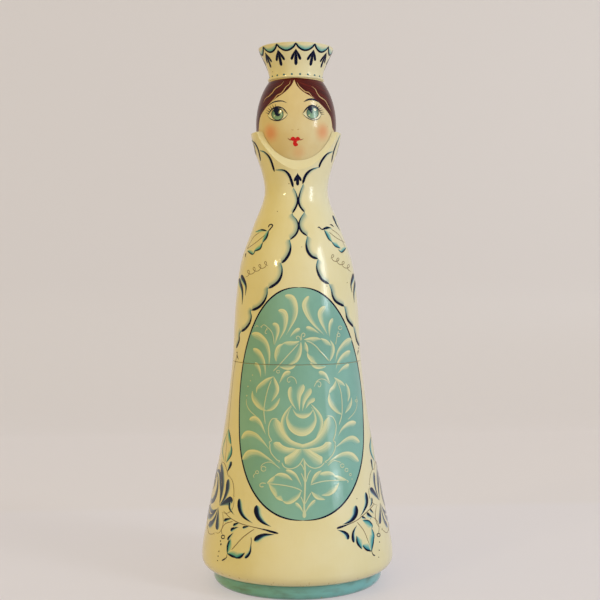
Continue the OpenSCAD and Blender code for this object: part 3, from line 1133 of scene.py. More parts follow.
# Each entry: width in millimetres, which edge is dark, and the pixels from the head to the tail
DROPS = [
    (7.6, "right", [(256.6, 505.2), (257.8, 514.5), (262.6, 521.6), (271.1, 526.6)]),
    (6.4, "right", [(239.3, 498.6), (240.4, 509.5), (244.6, 517.2), (252.6, 523)]),
    (3.6, "right", [(230.4, 502), (229.8, 508), (234.2, 514.8)]),
    (3.8, "left", [(224, 520.6), (227.6, 519.4), (232, 518.4)]),
    (3.4, "left", [(233.2, 525.5), (236, 524.1), (240, 522.6)]),
    (3.0, "left", [(242.6, 527.8), (245.4, 527.1), (249.4, 526.2)]),
    (4.2, "left", [(230.6, 530.8), (233.8, 528.6), (238.4, 527.2)]),
    (3.6, "left", [(227.6, 540), (229.8, 536.7), (233.4, 532.8)]),
    (6.0, "left", [(254.2, 540.8), (260, 537), (265.6, 535), (274.2, 534.6)]),
    (3.8, "right", [(244.8, 558), (248.6, 554.2), (250.4, 550), (250.9, 543.4)]),
    (7.4, "left", [(355.8, 505.4), (355, 514.4), (350.3, 520.7), (342.8, 524.4)]),
    (6.2, "left", [(365.5, 492.2), (366.5, 502.2), (363.7, 510.4), (360.1, 516.4)]),
    (3.4, "left", [(371.6, 497.6), (371.4, 503), (369.2, 507.6)]),
    (3.2, "left", [(369.8, 509.2), (371.8, 511.4), (373.6, 513.4)]),
    (4.8, "left", [(366.5, 513.4), (369.6, 515.8), (372.6, 517.6)]),
    (3.2, "left", [(361.6, 516.9), (364, 517.8), (366.2, 518.4)]),
    (5.2, "right", [(347.8, 539.6), (347, 535.4), (343.6, 532.2), (337.6, 530)]),
    (4.4, "left", [(353.8, 542.6), (353, 536), (353.8, 530.8), (356.6, 525.6)]),
    (5.4, "left", [(231.4, 461.4), (229.8, 466.4), (227, 472.4)]),
    (5.0, "right", [(371, 459), (371.8, 464), (372.2, 470.2)]),
    (6.0, "right", [(332.8, 215.4), (336.2, 223.8), (339.8, 230.4)]),
    (6.8, "left", [(241, 276), (245.8, 285.3), (245.4, 295.4)]),
    (6.8, "left", [(239, 279.4), (242.4, 291), (242.2, 304.4)]),
    (7.2, "right", [(353.8, 275), (351, 284.5), (352, 292.4)]),
    (7.2, "right", [(355.2, 282), (353.8, 293), (354.2, 302.4)])]
LEAF_EDGES = [
    (4.0, "right", [(230.6, 538.6), (227.6, 546), (227.2, 554)]),
    (3.8, "right", [(227.2, 553.4), (232.5, 556.1), (237.5, 558.1), (244.4, 553.4)]),
    (4.4, "left", [(362.6, 520), (368.6, 520.6), (372.4, 525), (371.6, 529)]),
    (4.8, "left", [(371.4, 527.6), (374.1, 534.4), (373.3, 541.4), (371.4, 551.4)]),
    (4.8, "right", [(356.4, 535.8), (357.2, 543), (361.8, 549)]),
    (4.6, "right", [(362.2, 545.2), (366.4, 549.8), (372, 551.3)]),
    (3.8, "left", [(269, 230), (267, 237), (262.5, 243)]),
    (3.8, "left", [(262.9, 242.3), (260.4, 249), (253.8, 251.5)]),
    (2.4, "left", [(255.4, 250.8), (252.6, 254.6), (247.4, 251)]),
    (2.0, "left", [(255.4, 231.8), (262, 229.2), (267.6, 231)]),
    (3.8, "right", [(323.6, 229.4), (328.4, 238.8), (332.4, 242.4)]),
    (3.8, "right", [(331.4, 241.6), (335, 246.4), (340.5, 248.4)]),
    (2.4, "right", [(338, 249.4), (341.6, 252.4), (346, 248)]),
    (2.0, "right", [(331.6, 228.4), (326.8, 226.6), (321.4, 229.6)]),
    (4.0, "left", [(228.6, 428.6), (230.4, 436), (231.4, 444.6)]),
    (4.4, "left", [(231.2, 445), (232.2, 450), (231, 456), (226.4, 462.6)]),
    (4.4, "right", [(370.8, 437), (369.5, 445.8), (370.8, 454), (374.6, 461.4)])]
SIDE_LEAF = [(228.4, 428.8), (225.4, 438), (223, 446), (222.6, 453.4), (224.6, 462.2)]


def front_and_back(*points):
    """A brush path through these pixels of the picture, and the same path half a turn round."""
    path = traced(*points)
    return path, [(angle + math.pi, z) for angle, z in path]


leaf_edges = Motif("leaf_edges", body_skin, SHELLS)
drops = Motif("blue_drops", body_skin, SHELLS, LAYERS * LAYER)
leaf_lines = Motif("leaf_lines", body_skin, SHELLS, 2 * LAYERS * LAYER)
for wide, dark, path in DROPS:
    for way in front_and_back(*path):
        drops.stroke(way, wide, drop, dark, DROP_HUG)
for wide, dark, path in LEAF_EDGES:
    for way in front_and_back(*path):
        leaf_edges.stroke(way, wide * LEAF_WIDER, taper, dark, EDGE_HUG)
far_edge = traced(*SIDE_LEAF)
far_turn = spot(*LEAF_EDGES[-1][2][0])[0] + spot(*SIDE_LEAF[0])[0]
for half_turn in (0, math.pi):
    left_leaf = [(half_turn + angle, z) for angle, z in far_edge]
    right_leaf = [(half_turn + far_turn - angle, z) for angle, z in far_edge]
    leaf_edges.stroke(left_leaf, FAR_EDGE_WIDTH, taper, "right", EDGE_HUG)
    leaf_edges.stroke(right_leaf, FAR_EDGE_WIDTH, taper, "left", EDGE_HUG)
drops.finish(blue_paint)
leaf_edges.finish(leaf_paint)
print(len(DROPS), "drops and", len(LEAF_EDGES), "leaf edges")

# %% [markdown]
# ## Stems, veins and tendrils
# Fine lines hold the leaves together: dark lines for stems and edges, brown veins, and tendrils that
# end in small rings and dots. All of them are thin strokes. The looped tendrils come from a function,
# because a running hand makes the same loop again and again.

# %% Stems, veins and tendrils
def loops(start, end, count, wide, tall):
    """Pixels along a line of tall loops, as a running hand makes them."""
    points = []
    for s in range(count * 16 + 1):
        turn = 2 * math.pi * s / 16
        along = s / (count * 16)
        x = start[0] + (end[0] - start[0]) * along + wide / 2 * math.sin(turn)
        y = start[1] + (end[1] - start[1]) * along - tall / 2 * (1 - math.cos(turn))
        points.append((x, y))
    return points


# Each entry: width in millimetres, shape, and the pixels of the path
DARK_LINES = [
    (1.7, comma, [(256, 527.6), (266.5, 530.1), (272, 531.8), (278.4, 533.4)]),
    (1.7, comma, [(352, 522.8), (344.9, 525.6), (341, 526.9), (336.7, 528.3)]),
    (1.1, comma, [(227, 554.4), (226.4, 557.6), (222, 560.6)]),
    (1.1, comma, [(371.5, 550.8), (373, 554.6), (375, 555.4)]),
    (1.0, even, [(268.3, 227.4), (269.6, 224.8), (271.8, 224.4), (272.6, 226), (270.6, 228.6),
                 (268.6, 231)]),
    (1.0, even, [(317.6, 227.6), (319.2, 227.2), (321.2, 229), (323.4, 229.6)]),
    (1.1, taper, [(329.6, 224.4), (331.6, 225), (333.6, 226.8)]),
    (1.6, taper, [(321.6, 229.8), (325.4, 228.4), (330.4, 227.2)]),
    (1.3, taper, [(260.8, 230.2), (263.6, 230), (266.6, 231)]),
    (1.4, drop, [(246, 253.2), (245.4, 257.2)]),
    (1.5, taper, [(229.8, 538.8), (227.5, 546), (227.3, 553.8)]),
    (1.7, taper, [(227.3, 553.6), (232.4, 556.2), (236.8, 557.8)]),
    (1.8, taper, [(236, 558), (240.6, 557), (244.8, 552.6)]),
    (1.7, taper, [(356.5, 536.4), (357.3, 543), (361.8, 549)]),
    (1.5, taper, [(362.4, 545.6), (366.4, 549.7), (372, 551.2)]),
    (1.0, taper, [(374, 537), (373.2, 543), (371.6, 551)]),
    (0.8, taper, [(363, 520), (368.4, 520.5), (372, 524.6)]),
    (1.5, taper, [(268.8, 230.4), (266.9, 237), (262.6, 242.8)]),
    (1.1, taper, [(262.7, 242.5), (260.3, 248.8), (254.4, 251.3)]),
    (1.0, taper, [(323.8, 229.6), (328.2, 238.6), (332.2, 242.2)]),
    (0.9, taper, [(331.6, 241.8), (335, 246.2), (340, 248.2)]),
    (0.9, taper, [(255.4, 251), (252.6, 254.5), (247.6, 251)]),
    (0.9, taper, [(338.2, 249.6), (341.6, 252.4), (345.8, 248.2)])]
VEINS = [
    [(277.9, 533.1), (266.5, 530.1), (250.2, 526.3), (239.4, 523.1), (230.7, 518.2), (223.4, 510.8)],
    [(337.3, 527.9), (344.9, 525.8), (355.8, 520.9), (361.7, 516.5), (368.8, 510), (374.4, 503.8)],
    [(254.5, 529), (248, 533.4), (241.5, 538.8), (231.6, 549.8)],
    [(356.9, 522), (363.4, 530.1), (367.7, 539.9), (371.5, 550.7)],
    [(251, 537), (251.4, 541), (250.8, 546)],
    [(232.9, 521.4), (225.3, 523.8), (221.5, 530.1), (222.4, 535)],
    [(373.1, 517.1), (377.3, 521.4), (379, 527.9), (378.5, 533)],
    [(265.4, 234.6), (257, 241.6), (247.2, 248.8)],
    [(328.6, 231.6), (336, 237.6), (344.8, 242.6)],
    [(262.4, 231), (254, 236.6), (247.2, 248.6)],
    [(331, 229), (339.4, 235.6), (345.6, 248)]]
TENDRILS = [loops((245.6, 277), (268.4, 265.4), 4, 4.6, 5.4), loops((330, 258), (351, 271.4), 4, 4.6, 5.0)]
VEIN_WIDTH, TENDRIL_WIDTH = 0.65, 0.5
SIDE_LINE_WIDTH, RING_WIDTH = 0.6, 0.7
SIDE_LINES = [[(228.4, 428.8), (227.4, 436), (226.4, 446), (225.4, 461.6)],
              [(237.8, 352), (233.8, 372), (230.8, 402), (228.5, 428.6)]]
RINGS = [(223.1, 536.9, 1.7), (378.5, 535, 1.6)]
BEADS = [(220.6, 541, 0.6), (221, 544.2, 0.8), (219, 551.2, 0.5), (218.2, 556.1, 0.5), (217.7, 560.5, 0.4),
         (379.4, 542, 0.5), (379.1, 550.2, 0.5), (378.6, 557.2, 0.4)]
veins = Motif("brown_lines", body_skin, SHELLS)
for wide, shape, path in DARK_LINES:
    for way in front_and_back(*path):
        leaf_lines.stroke(way, wide, shape)
for paths, wide in ((VEINS, VEIN_WIDTH), (TENDRILS, TENDRIL_WIDTH)):
    for path in paths:
        for way in front_and_back(*path):
            veins.stroke(way, wide, even)
for path in SIDE_LINES:
    veins.stroke(traced(*path), SIDE_LINE_WIDTH, even)
for x, y, radius in RINGS:
    for way in front_and_back(*outline_of(x, y, radius, radius)):
        leaf_lines.stroke(way, RING_WIDTH, even)
for x, y, radius in BEADS:
    for angle in (0, math.pi):
        around, height = spot(x, y)
        leaf_lines.dot((around + angle, height), radius)
leaf_lines.finish(ink_paint)
veins.finish(vein_paint)
print(len(VEINS), "veins and stems,", len(TENDRILS), "tendrils,", len(RINGS), "rings,", len(BEADS), "beads")

# %% [markdown]
# ## The medallion
# The front carries a tall turquoise oval with a thin dark rim. On it stands one rose on a stem, with
# leaves and feathery plumes, all in cream laid over the turquoise. The oval is a film between a left
# and a right edge; a superellipse, squarer than an ellipse, gives its full sides.

# %% Medallion ground
OVAL_TOP, OVAL_WIDEST, OVAL_BOTTOM = 287.4, 430.0, 520.4
OVAL_HALF = 62.0
OVAL_SQUARE = 2.3
OVAL_ROWS, OVAL_CUTS, RIM_WIDTH = 120, 48, 1.35
OVAL_MIDDLE, OVAL_LEAN = 299.0, 4.0 / 233.0


def oval_edge(side, y):
    """Pixel on the oval's left or right edge at this pixel row."""
    tall = OVAL_WIDEST - OVAL_TOP if y < OVAL_WIDEST else OVAL_BOTTOM - OVAL_WIDEST
    part = min(1.0, abs(y - OVAL_WIDEST) / tall)
    half = OVAL_HALF * (1 - part ** OVAL_SQUARE) ** (1 / OVAL_SQUARE)
    return OVAL_MIDDLE + OVAL_LEAN * (y - OVAL_TOP) + side * half, y


def oval_rows(count):
    """Pixel rows from the oval's top to its bottom, close together at both ends."""
    middle, half = (OVAL_TOP + OVAL_BOTTOM) / 2, (OVAL_BOTTOM - OVAL_TOP) / 2
    return [middle - half * math.cos(math.pi * s / count) for s in range(count + 1)]


ground = Motif("medallion_ground", body_skin, SHELLS)
oval_sides = [[spot(*oval_edge(side, y)) for y in oval_rows(OVAL_ROWS)] for side in (-1, 1)]
ground.film(*oval_sides, OVAL_CUTS)
ground.finish(lacquered("medallion turquoise", turquoise))
rim = Motif("medallion_rim", body_skin, SHELLS, 4 * LAYER)
for edge in oval_sides:
    rim.stroke(edge, RIM_WIDTH, even)
rim.finish(ink_paint)
print("medallion from", round(oval_sides[0][-1][1] / MM), "to", round(oval_sides[0][0][1] / MM), "mm")

# %% [markdown]
# ## The rose
# The rose is a cup with petals round its foot. The brush is loaded on one edge, so each stroke goes
# from cream into the turquoise: drops for the cup's inner petals, crescents for its bowl, and broad
# tongues for the petals below. A fine line goes round the outside.

# %% The rose
ROSE_HEART = (302.5, 447.5)
ROSE_LINE_WIDTH = 0.8
# Each entry: width in millimetres, shape, loaded edge, hug, and the pixels of the path
ROSE_CUP = [
    (4.6, drop, "outer", 0, [(291.2, 386.6), (290.6, 395.5), (292.6, 402.9), (296.6, 410)]),
    (6.2, drop, "left", 0, [(303.3, 384.4), (299.4, 391.8), (298.2, 398.3), (299.6, 411)]),
    (6.0, drop, "left", 0, [(310.6, 388.4), (305.8, 395.5), (303.2, 402.3), (302.4, 411)]),
    (4.6, drop, "left", 0, [(314.6, 398.2), (308.8, 402.1), (305.4, 409)]),
    (5.0, crescent, "outer", 0.5, [(292.6, 408.8), (296.4, 414.6), (303, 416.9), (309.6, 414.4),
                                   (313.8, 408.4)]),
    (8.6, crescent, "outer", 1, [(291.4, 406.4), (286.6, 414.8), (286.6, 423), (290.2, 430.6),
                                 (297.8, 435.6), (306, 435.6), (312.7, 430.6), (316.4, 422.1),
                                 (315.4, 413.9), (311.5, 407)])]
ROSE_PETALS = [
    (3.6, taper, "outer", 1, [(291.6, 404.8), (284.6, 412.4), (280.9, 420.6), (281.6, 428.6), (285.6, 436),
                              (292, 441.4)]),
    (3.6, taper, "outer", 1, [(311, 403.8), (317.8, 410.2), (321.9, 416.4), (323.1, 422.8), (321.2, 430.4),
                              (316, 438.4)]),
    (8.4, tongue, "left", 0, [(275.2, 418.8), (276.8, 426), (280.8, 434.2), (286.4, 440.6), (293.6, 444.8),
                              (304, 447.4)]),
    (8.4, tongue, "right", 0, [(329.2, 417), (327.8, 425), (324.4, 433.2), (318.8, 440.2), (312, 444.6),
                               (301.6, 447.4)]),
    (8.4, tongue, "inner", 0, [(273.6, 443), (280.8, 449.2), (290.4, 451.4), (302.4, 449)]),
    (8.4, tongue, "inner", 0, [(331.4, 443), (324, 449.4), (313.8, 451.4), (302.8, 449)]),
    (10.4, tongue, "left", 0, [(285.8, 464), (292.4, 458.8), (297.8, 453.8), (302.8, 447.8)]),
    (10.6, tongue, "right", 0, [(321.4, 463.8), (314.2, 458.4), (308, 453.6), (302.6, 447.8)])]
ROSE_LINES = [
    [(278, 418.6), (272, 419.2), (268.8, 426), (268.8, 434), (270.2, 438), (271.6, 440.6), (269.6, 441.8),
     (269.4, 444.4)],
    [(270.2, 443.6), (270, 448.6), (271.7, 453.8), (277.2, 460), (279.8, 461), (278.4, 462.6)],
    [(281.8, 462.4), (284.4, 467), (290.4, 468.8), (297, 466.6), (301.4, 461.8), (303, 458)],
    [(326, 416), (332.2, 416.8), (335.8, 424), (335.4, 433), (334, 438), (333.4, 440.8), (335, 442),
     (334.6, 445)],
    [(334.8, 443.6), (334.8, 449), (332.6, 454.4), (327.8, 460), (325, 461.6), (327, 462.8)],
    [(324.6, 462.2), (320.8, 466.4), (314.6, 468.2), (308.6, 465.9), (304.8, 461.4), (303.4, 458)]]
rose = Motif("medallion_rose", body_skin, SHELLS, 5 * LAYER)
rose_lines = Motif("medallion_lines", body_skin, SHELLS, 12 * LAYER)
for wide, shape, loaded, hug, path in ROSE_CUP + ROSE_PETALS:
    rose.stroke(traced(*path), wide, shape, loaded, hug)
for path in ROSE_LINES:
    rose_lines.stroke(traced(*path), ROSE_LINE_WIDTH, even)
rose.finish(petal_body_paint)
print(len(ROSE_CUP) + len(ROSE_PETALS), "rose strokes")

# %% [markdown]
# ## Leaves and plumes
# Round the rose stand feathery plumes, leaves with open edges, curls and small dots. A plume is one
# drop of the brush, wide at its head. A leaf is a ring of short strokes whose loaded edge is outside.
# The lines and curls lie on top of both.

# %% Leaves and plumes
# Each plume: width in millimetres and the pixels from its head to its tail
PLUMES = [
    (7.0, [(285, 295.6), (292, 298), (295.6, 307.5), (294.4, 318.6), (286.4, 334.6)]),
    (6.4, [(278.4, 310.4), (283.8, 312), (286, 318.6), (284.3, 329.6), (279, 340.1)]),
    (5.2, [(272.6, 323.8), (276.6, 325.4), (278, 331.4), (276.3, 338.8), (275, 344.6)]),
    (4.4, [(300, 328.4), (294.4, 332), (290, 337)]),
    (7.0, [(308.8, 296), (304.8, 304.4), (307.4, 314), (313.8, 324.1), (324, 334.8)]),
    (6.8, [(325, 306.2), (320.3, 312.6), (321.1, 320.4), (324.6, 328.7), (327.6, 335)]),
    (4.8, [(332.8, 318.4), (330, 324.4), (329.3, 331.4), (329.6, 337)]),
    (4.6, [(306, 327.2), (312.5, 329.4), (319.6, 333.8)]),
    (7.2, [(251.8, 334), (259, 335.5), (266, 342.6), (269.2, 353.5), (268.9, 367.4)]),
    (6.4, [(253.2, 348.8), (259, 352.5), (263.2, 359.9), (265, 368.2), (265.3, 375.6)]),
    (5.0, [(255.4, 362.4), (259.4, 369.1), (261, 377.6)]),
    (7.2, [(351.4, 339.2), (344.5, 343.4), (338, 351.8), (335.4, 362)]),
    (6.4, [(350.2, 351.4), (342.7, 356.2), (337.9, 362.8), (335.7, 369.6)]),
    (5.0, [(349, 364.6), (342.5, 368.4), (337.5, 373.8)]),
    (6.2, [(249.6, 419.6), (255.4, 418.5), (260.7, 423.4), (265.8, 434.4)]),
    (6.8, [(241.6, 438.4), (247.1, 433.4), (255.3, 434.8), (262.5, 441.1), (268.8, 448.8)]),
    (7.2, [(242.6, 459.4), (248.9, 453), (257.2, 452.5), (265.4, 456.7), (276.2, 464.2)]),
    (6.0, [(355.8, 422.6), (348.7, 423.8), (342.1, 429), (338, 436)]),
    (6.6, [(359.4, 442), (352.2, 438), (344.8, 440.4), (335, 447.8)]),
    (7.0, [(358.5, 461.2), (351.2, 454.9), (343, 454.2), (333.8, 458.6), (326.6, 464.4)]),
    (5.0, [(290.6, 372), (284.8, 374.2), (279.2, 383.6)]),
    (5.0, [(318.6, 372), (325.1, 374.8), (330.1, 383.6)]),
    (3.4, [(295.4, 502.8), (300.3, 507.5), (303.6, 513.4)]),
    (3.6, [(315.3, 500), (309, 506.6), (305, 513.4)]),
    (4.0, [(285.8, 470), (295, 474.5), (302.1, 487)])]
LEAVES = [
    (4.6, [(299.4, 341), (295, 341.4), (290, 341.2), (285.6, 341.8), (282.4, 343.6)]),
    (5.4, [(283.6, 343.6), (279.2, 344.6), (276.2, 347.8), (274.8, 352.4), (274.6, 357), (276.2, 362)]),
    (5.0, [(301, 341.8), (301.9, 347), (301.5, 353), (299.8, 358.2), (297, 362), (292.6, 364.4),
           (287, 366)]),
    (4.6, [(296.2, 364.4), (293.6, 368), (289, 369.8), (284, 369.2), (279.6, 366.8)]),
    (4.8, [(304, 339.4), (308.4, 337.8), (313, 337), (317.8, 337.6), (321, 339.4)]),
    (5.0, [(320.6, 338.2), (325.2, 339.2), (328.8, 341.8), (331.4, 345.8)]),
    (4.8, [(330.2, 340.2), (333.2, 343.8), (334.6, 348.2), (334.2, 353), (332.4, 357.6), (329.6, 361.6)]),
    (4.2, [(305, 341.8), (307.4, 345.6), (308.2, 349.6), (308, 353)]),
    (5.4, [(307, 352.6), (307.2, 356.2), (308.8, 359.4), (312, 363), (316.4, 366)]),
    (4.4, [(309.6, 362.4), (312.6, 366.6), (316.6, 368.8), (321.6, 368.6), (326, 366.6)]),
    (5.2, [(273.4, 376.4), (267, 378.2), (262.4, 381.2), (258.8, 384.4), (256.2, 388.4), (256.4, 393)]),
    (6.2, [(252.4, 390.8), (251.6, 396), (252.8, 401.2), (256.4, 406.4), (261, 409.7), (266.6, 411.2)]),
    (4.0, [(280, 398), (278.8, 403), (275.6, 407.8), (271, 410.7), (265.6, 411.2)]),
    (4.8, [(273.8, 376.4), (276.6, 381), (279, 386.6), (278.8, 392), (276, 397), (271.6, 401.6)]),
    (4.6, [(335.6, 380.4), (333.2, 385), (330, 388.8), (328.6, 393.6)]),
    (5.8, [(329, 393), (327.8, 399), (329, 404.6), (332.8, 409.8), (337.6, 413.4), (342, 414.6)]),
    (4.4, [(334, 377.2), (338.6, 379.4), (342.6, 382.2), (345, 386)]),
    (4.8, [(345.4, 382.8), (348.4, 387), (349.8, 392), (349.6, 397), (347.6, 402)]),
    (4.4, [(351.4, 397.2), (351.8, 403), (349.8, 408.4), (345, 413.4)]),
    (4.4, [(267, 482.8), (270.6, 478.6), (275.2, 475.6)]),
    (5.0, [(274.4, 476), (278, 473.3), (282.2, 472.8), (286.4, 474), (290, 476.8), (292.6, 480.4)]),
    (5.4, [(268.8, 484.2), (270.6, 489.6), (273.6, 494.6), (277.4, 499.6)]),
    (5.2, [(275.4, 497.4), (279, 500), (283.4, 501.2)]),
    (5.0, [(282.4, 501), (286.4, 503.9), (291, 503.7), (295.8, 500.8), (299.6, 496.6), (301.4, 491)]),
    (4.8, [(321.4, 470.4), (317.2, 472), (314, 475), (312, 479.2), (310.8, 484)]),
    (5.0, [(317.6, 474.2), (322.8, 472), (328, 471.2), (332.4, 472.6), (335.6, 475.8)]),
    (4.4, [(333.4, 475.6), (338, 475.6), (343, 477.6), (346.8, 480)]),
    (5.6, [(339, 482.6), (337.6, 487.6), (334.8, 492), (330.2, 495.2), (325.8, 496), (321.4, 495.2)]),
    (4.8, [(311.2, 491.6), (313.2, 495.8), (316.4, 498.9), (320.2, 500), (325.2, 499.8)])]
LINES = [
    (0.8, [(298.6, 343.6), (291, 352), (285, 358.6), (278.4, 366), (273, 371.4)]),
    (0.9, [(306, 341), (311, 342.6), (316, 346.4), (320, 351), (325, 356.4), (329, 361)]),
    (0.8, [(271.6, 379.6), (268.4, 388), (266, 397), (264.4, 406), (264, 412), (265.4, 424)]),
    (0.8, [(337, 381), (340, 389), (341.6, 398), (342, 408), (341.4, 416), (338.8, 425)]),
    (0.8, [(267, 483.6), (277, 484.4), (285, 485.5), (293, 487.2), (299, 489.3), (302.6, 491.6)]),
    (0.8, [(310.4, 485), (316, 483), (323, 481.3), (330, 480.6), (338, 480.2), (346, 480)]),
    (1.4, [(304, 459), (305, 470), (305, 486), (304.4, 500), (304, 512)]),
    (0.7, [(300, 463.4), (302.4, 466), (304.2, 470.4)]),
    (0.7, [(301, 473), (303, 477), (304.6, 482)]),
    (0.7, [(311, 470), (308.4, 474), (306, 482)]),
    (0.7, [(311, 492.6), (308, 498), (305, 504)]),
    (0.7, [(300.6, 496.4), (302.4, 500), (304, 505)]),
    (0.6, [(255.2, 327.6), (256.8, 325.6), (258.6, 326.8)]),
    (0.6, [(261.8, 328.2), (262, 326), (264.4, 324.8), (268, 327.6), (271.6, 331.6), (273.4, 337),
           (274.4, 345)]),
    (0.6, [(267.6, 329.2), (265.6, 330.8), (265.4, 333.4), (267.4, 333.2)]),
    (0.7, [(301, 341), (300, 337.4), (297.8, 336), (296.2, 337.6), (297.2, 339.2)]),
    (0.7, [(301.6, 340), (301.2, 335.6), (303, 333), (304.9, 334.3), (304.2, 336.4), (302.6, 336.6)]),
    (0.6, [(338.2, 331), (337, 336), (335.4, 344.6)]),
    (0.6, [(296.6, 384), (295.4, 379.4), (292, 376.8), (288.4, 377.6), (287.2, 380.4), (289, 382.4),
           (290.4, 380.6)]),
    (0.6, [(314, 387), (315.6, 383.4), (318, 381.6), (320.4, 382.6), (320.8, 385.4), (319, 387),
           (317.8, 385)]),
    (0.6, [(315.6, 382), (320.6, 379), (326, 380.2), (329.6, 384)]),
    (0.6, [(280.3, 468.6), (271.2, 462.3), (263.8, 463.5), (260.4, 467.6)]),
    (0.6, [(327.6, 465.7), (333.6, 460.7), (341, 462.5)]),
    (0.6, [(246.4, 399), (247, 405), (250.4, 411), (256.6, 416.6)]),
    (0.6, [(356.4, 396), (356.6, 406), (353.4, 413.6), (347.6, 419.6)]),
    (0.8, [(266, 483.4), (262, 483), (259.9, 484.7), (260.8, 486.8), (264, 486.6)]),
    (0.8, [(346, 480), (348, 481), (347.4, 482.6)]),
    (0.6, [(255.6, 473.2), (253.5, 475.8), (254.4, 477.8)])]
CURLS = [(340, 327.8, 1.8), (338.4, 335, 1.6), (263.6, 468.8, 2.4), (342.2, 465.6, 1.8), (346.4, 470, 1.6),
         (278.2, 371.6, 1.5), (356.2, 400.8, 1.2), (257.2, 472.2, 1.5), (350.3, 474.6, 1.1)]
CREAM_BEADS = [(261.2, 326.8, 0.5), (267, 329, 0.6), (252.6, 375, 0.5), (250.6, 380.6, 0.6),
               (248.2, 386.4, 0.7), (247, 395.6, 0.7), (351.8, 479, 0.5)]
CURL_WIDTH = 0.6
STEM_FOOT, STEM_FOOT_WIDTH = [(304.2, 518), (304.4, 512), (304.3, 505)], 3.0
plumes = Motif("medallion_plumes", body_skin, SHELLS, 5 * LAYER)
for wide, path in PLUMES:
    plumes.stroke(traced(*path), wide, drop, "outer", DROP_HUG)
for wide, path in LEAVES:
    plumes.stroke(traced(*path), wide, taper, "outer", EDGE_HUG)
for wide, path in LINES:
    rose_lines.stroke(traced(*path), wide, even)
for x, y, radius in CURLS:
    rose_lines.stroke(traced(*outline_of(x, y, radius, radius)), CURL_WIDTH, even)
for x, y, radius in CREAM_BEADS:
    rose_lines.dot(spot(x, y), radius)
rose_lines.stroke(traced(*STEM_FOOT), STEM_FOOT_WIDTH, drop)
plumes.finish(petal_paint)
rose_lines.finish(petal_line_paint)
print(len(PLUMES), "plumes,", len(LEAVES), "leaf edges,", len(LINES), "lines,", len(CURLS), "curls")

# %% [markdown]
# ## The side roses
# On each side of the skirt lies a rose in dark slate blue, turned so that its cup looks round to the
# back. The picture shows only the near half of each, so the cup of the medallion's rose is laid out
# again from its heart, with petals that run out to points, turned and mirrored for the two sides.

# %% Side roses
SLATE, SLATE_PALE = paint(28, 42, 76), paint(108, 142, 156)
ROSE_PIXEL = 0.85
SIDE_ROSE_LINE = 0.5
SIDE_PETALS = [
    (5.4, taper, "outer", 1, [(291.6, 404.8), (282.6, 414.6), (280.6, 424), (282.9, 434), (288.6, 442.5),
                              (298.6, 448.4)]),
    (5.6, taper, "outer", 1, [(311, 403.8), (320.7, 413.2), (323.7, 422.1), (320.9, 432.2), (315.2, 441.6),
                              (304.8, 448.4)]),
    (8.6, drop, "left", 0, [(274.6, 418.6), (274.8, 428.6), (280, 438.9), (290.2, 445.4), (300.8, 448.2)]),
    (8.6, drop, "right", 0, [(329.8, 416.4), (327.2, 428.6), (321.9, 438.3), (313.6, 444.8),
                             (304.2, 448.2)]),
    (8.2, drop, "inner", 0, [(273.2, 442.8), (280.3, 449.4), (290.4, 451.4), (301.4, 448.6)]),
    (8.2, drop, "inner", 0, [(331.6, 442.8), (324.1, 449.4), (313.8, 451.4), (303.6, 448.8)]),
    (9.0, drop, "left", 0, [(285.6, 463.6), (291.9, 458), (301.4, 449.8)]),
    (9.4, drop, "right", 0, [(321.8, 463.4), (314.7, 457.4), (304.2, 449.8)])]
# Each entry: the side, the pixel of the heart, how far the cup tips up in degrees, and the fullness
SIDE_ROSES = [(-1, (218.6, 505.6), 30, 0.85), (1, (380.2, 501.2), 12, 0.68)]


def slate_fade(place):
    """Slate blue over most of a stroke, then a pale haze, then the cream."""
    dark = streaked_fade(place, 0.5, 0.85).mix(SLATE, SLATE_PALE)
    return streaked_fade(place, 0.72, 1.0).mix(dark, cream(place))


def turned(path, side, heart, tip):
    """The path of a rose stroke carried to one side of the skirt and turned there."""
    turn = math.radians(tip - 90)
    carried = []
    for x, y in curve_through(path):
        right, down = (x - ROSE_HEART[0]) * ROSE_PIXEL * MM, (y - ROSE_HEART[1]) * ROSE_PIXEL * MM
        aside = right * math.cos(turn) - down * math.sin(turn)
        lower = right * math.sin(turn) + down * math.cos(turn)
        carried.append(body_skin.moved(*spot(*heart), -side * aside, -lower))
    return carried


side_roses = Motif("side_roses", body_skin, SHELLS)
side_lines = Motif("side_rose_lines", body_skin, SHELLS, LAYERS * LAYER)
flip = {"left": "right", "right": "left"}
for side, heart, tip, fuller in SIDE_ROSES:
    for wide, shape, loaded, hug, path in ROSE_CUP + SIDE_PETALS:
        edge = loaded if side < 0 else flip.get(loaded, loaded)
        side_roses.stroke(turned(path, side, heart, tip), wide * fuller, shape, edge, hug)
    for path in ROSE_LINES:
        side_lines.stroke(turned(path, side, heart, tip), SIDE_ROSE_LINE, taper)
side_roses.finish(lacquered("slate strokes", slate_fade))
side_lines.finish(vein_paint)
print("side roses at", [round(math.degrees(spot(*heart)[0])) for _, heart, _, _ in SIDE_ROSES], "degrees")
print(len(motif_pieces), "films of paint on the doll")

# %% [markdown]
# ## Floor and wall
# The doll stands on a pale table in front of a pale wall. A sweep is one sheet for both, so no corner
# shows. To the camera it glows in its own colour, so that it stays pale without more light on the doll,
# and it still takes the shadow.

# %% Sweep
FLOOR, WALL, ROOM = paint(214, 208, 210), paint(213, 206, 205), paint(214, 206, 199)
TABLE_END, TABLE_SOFT = 0.29, 0.02
FLATNESS = 0.62
SWEEP_WIDE = 12.0
SWEEP_NEAR = -12.0
SWEEP_FAR = 1.1
SWEEP_TALL = 2.2
BEND_RADIUS, BEND_STEPS = 0.25, 24


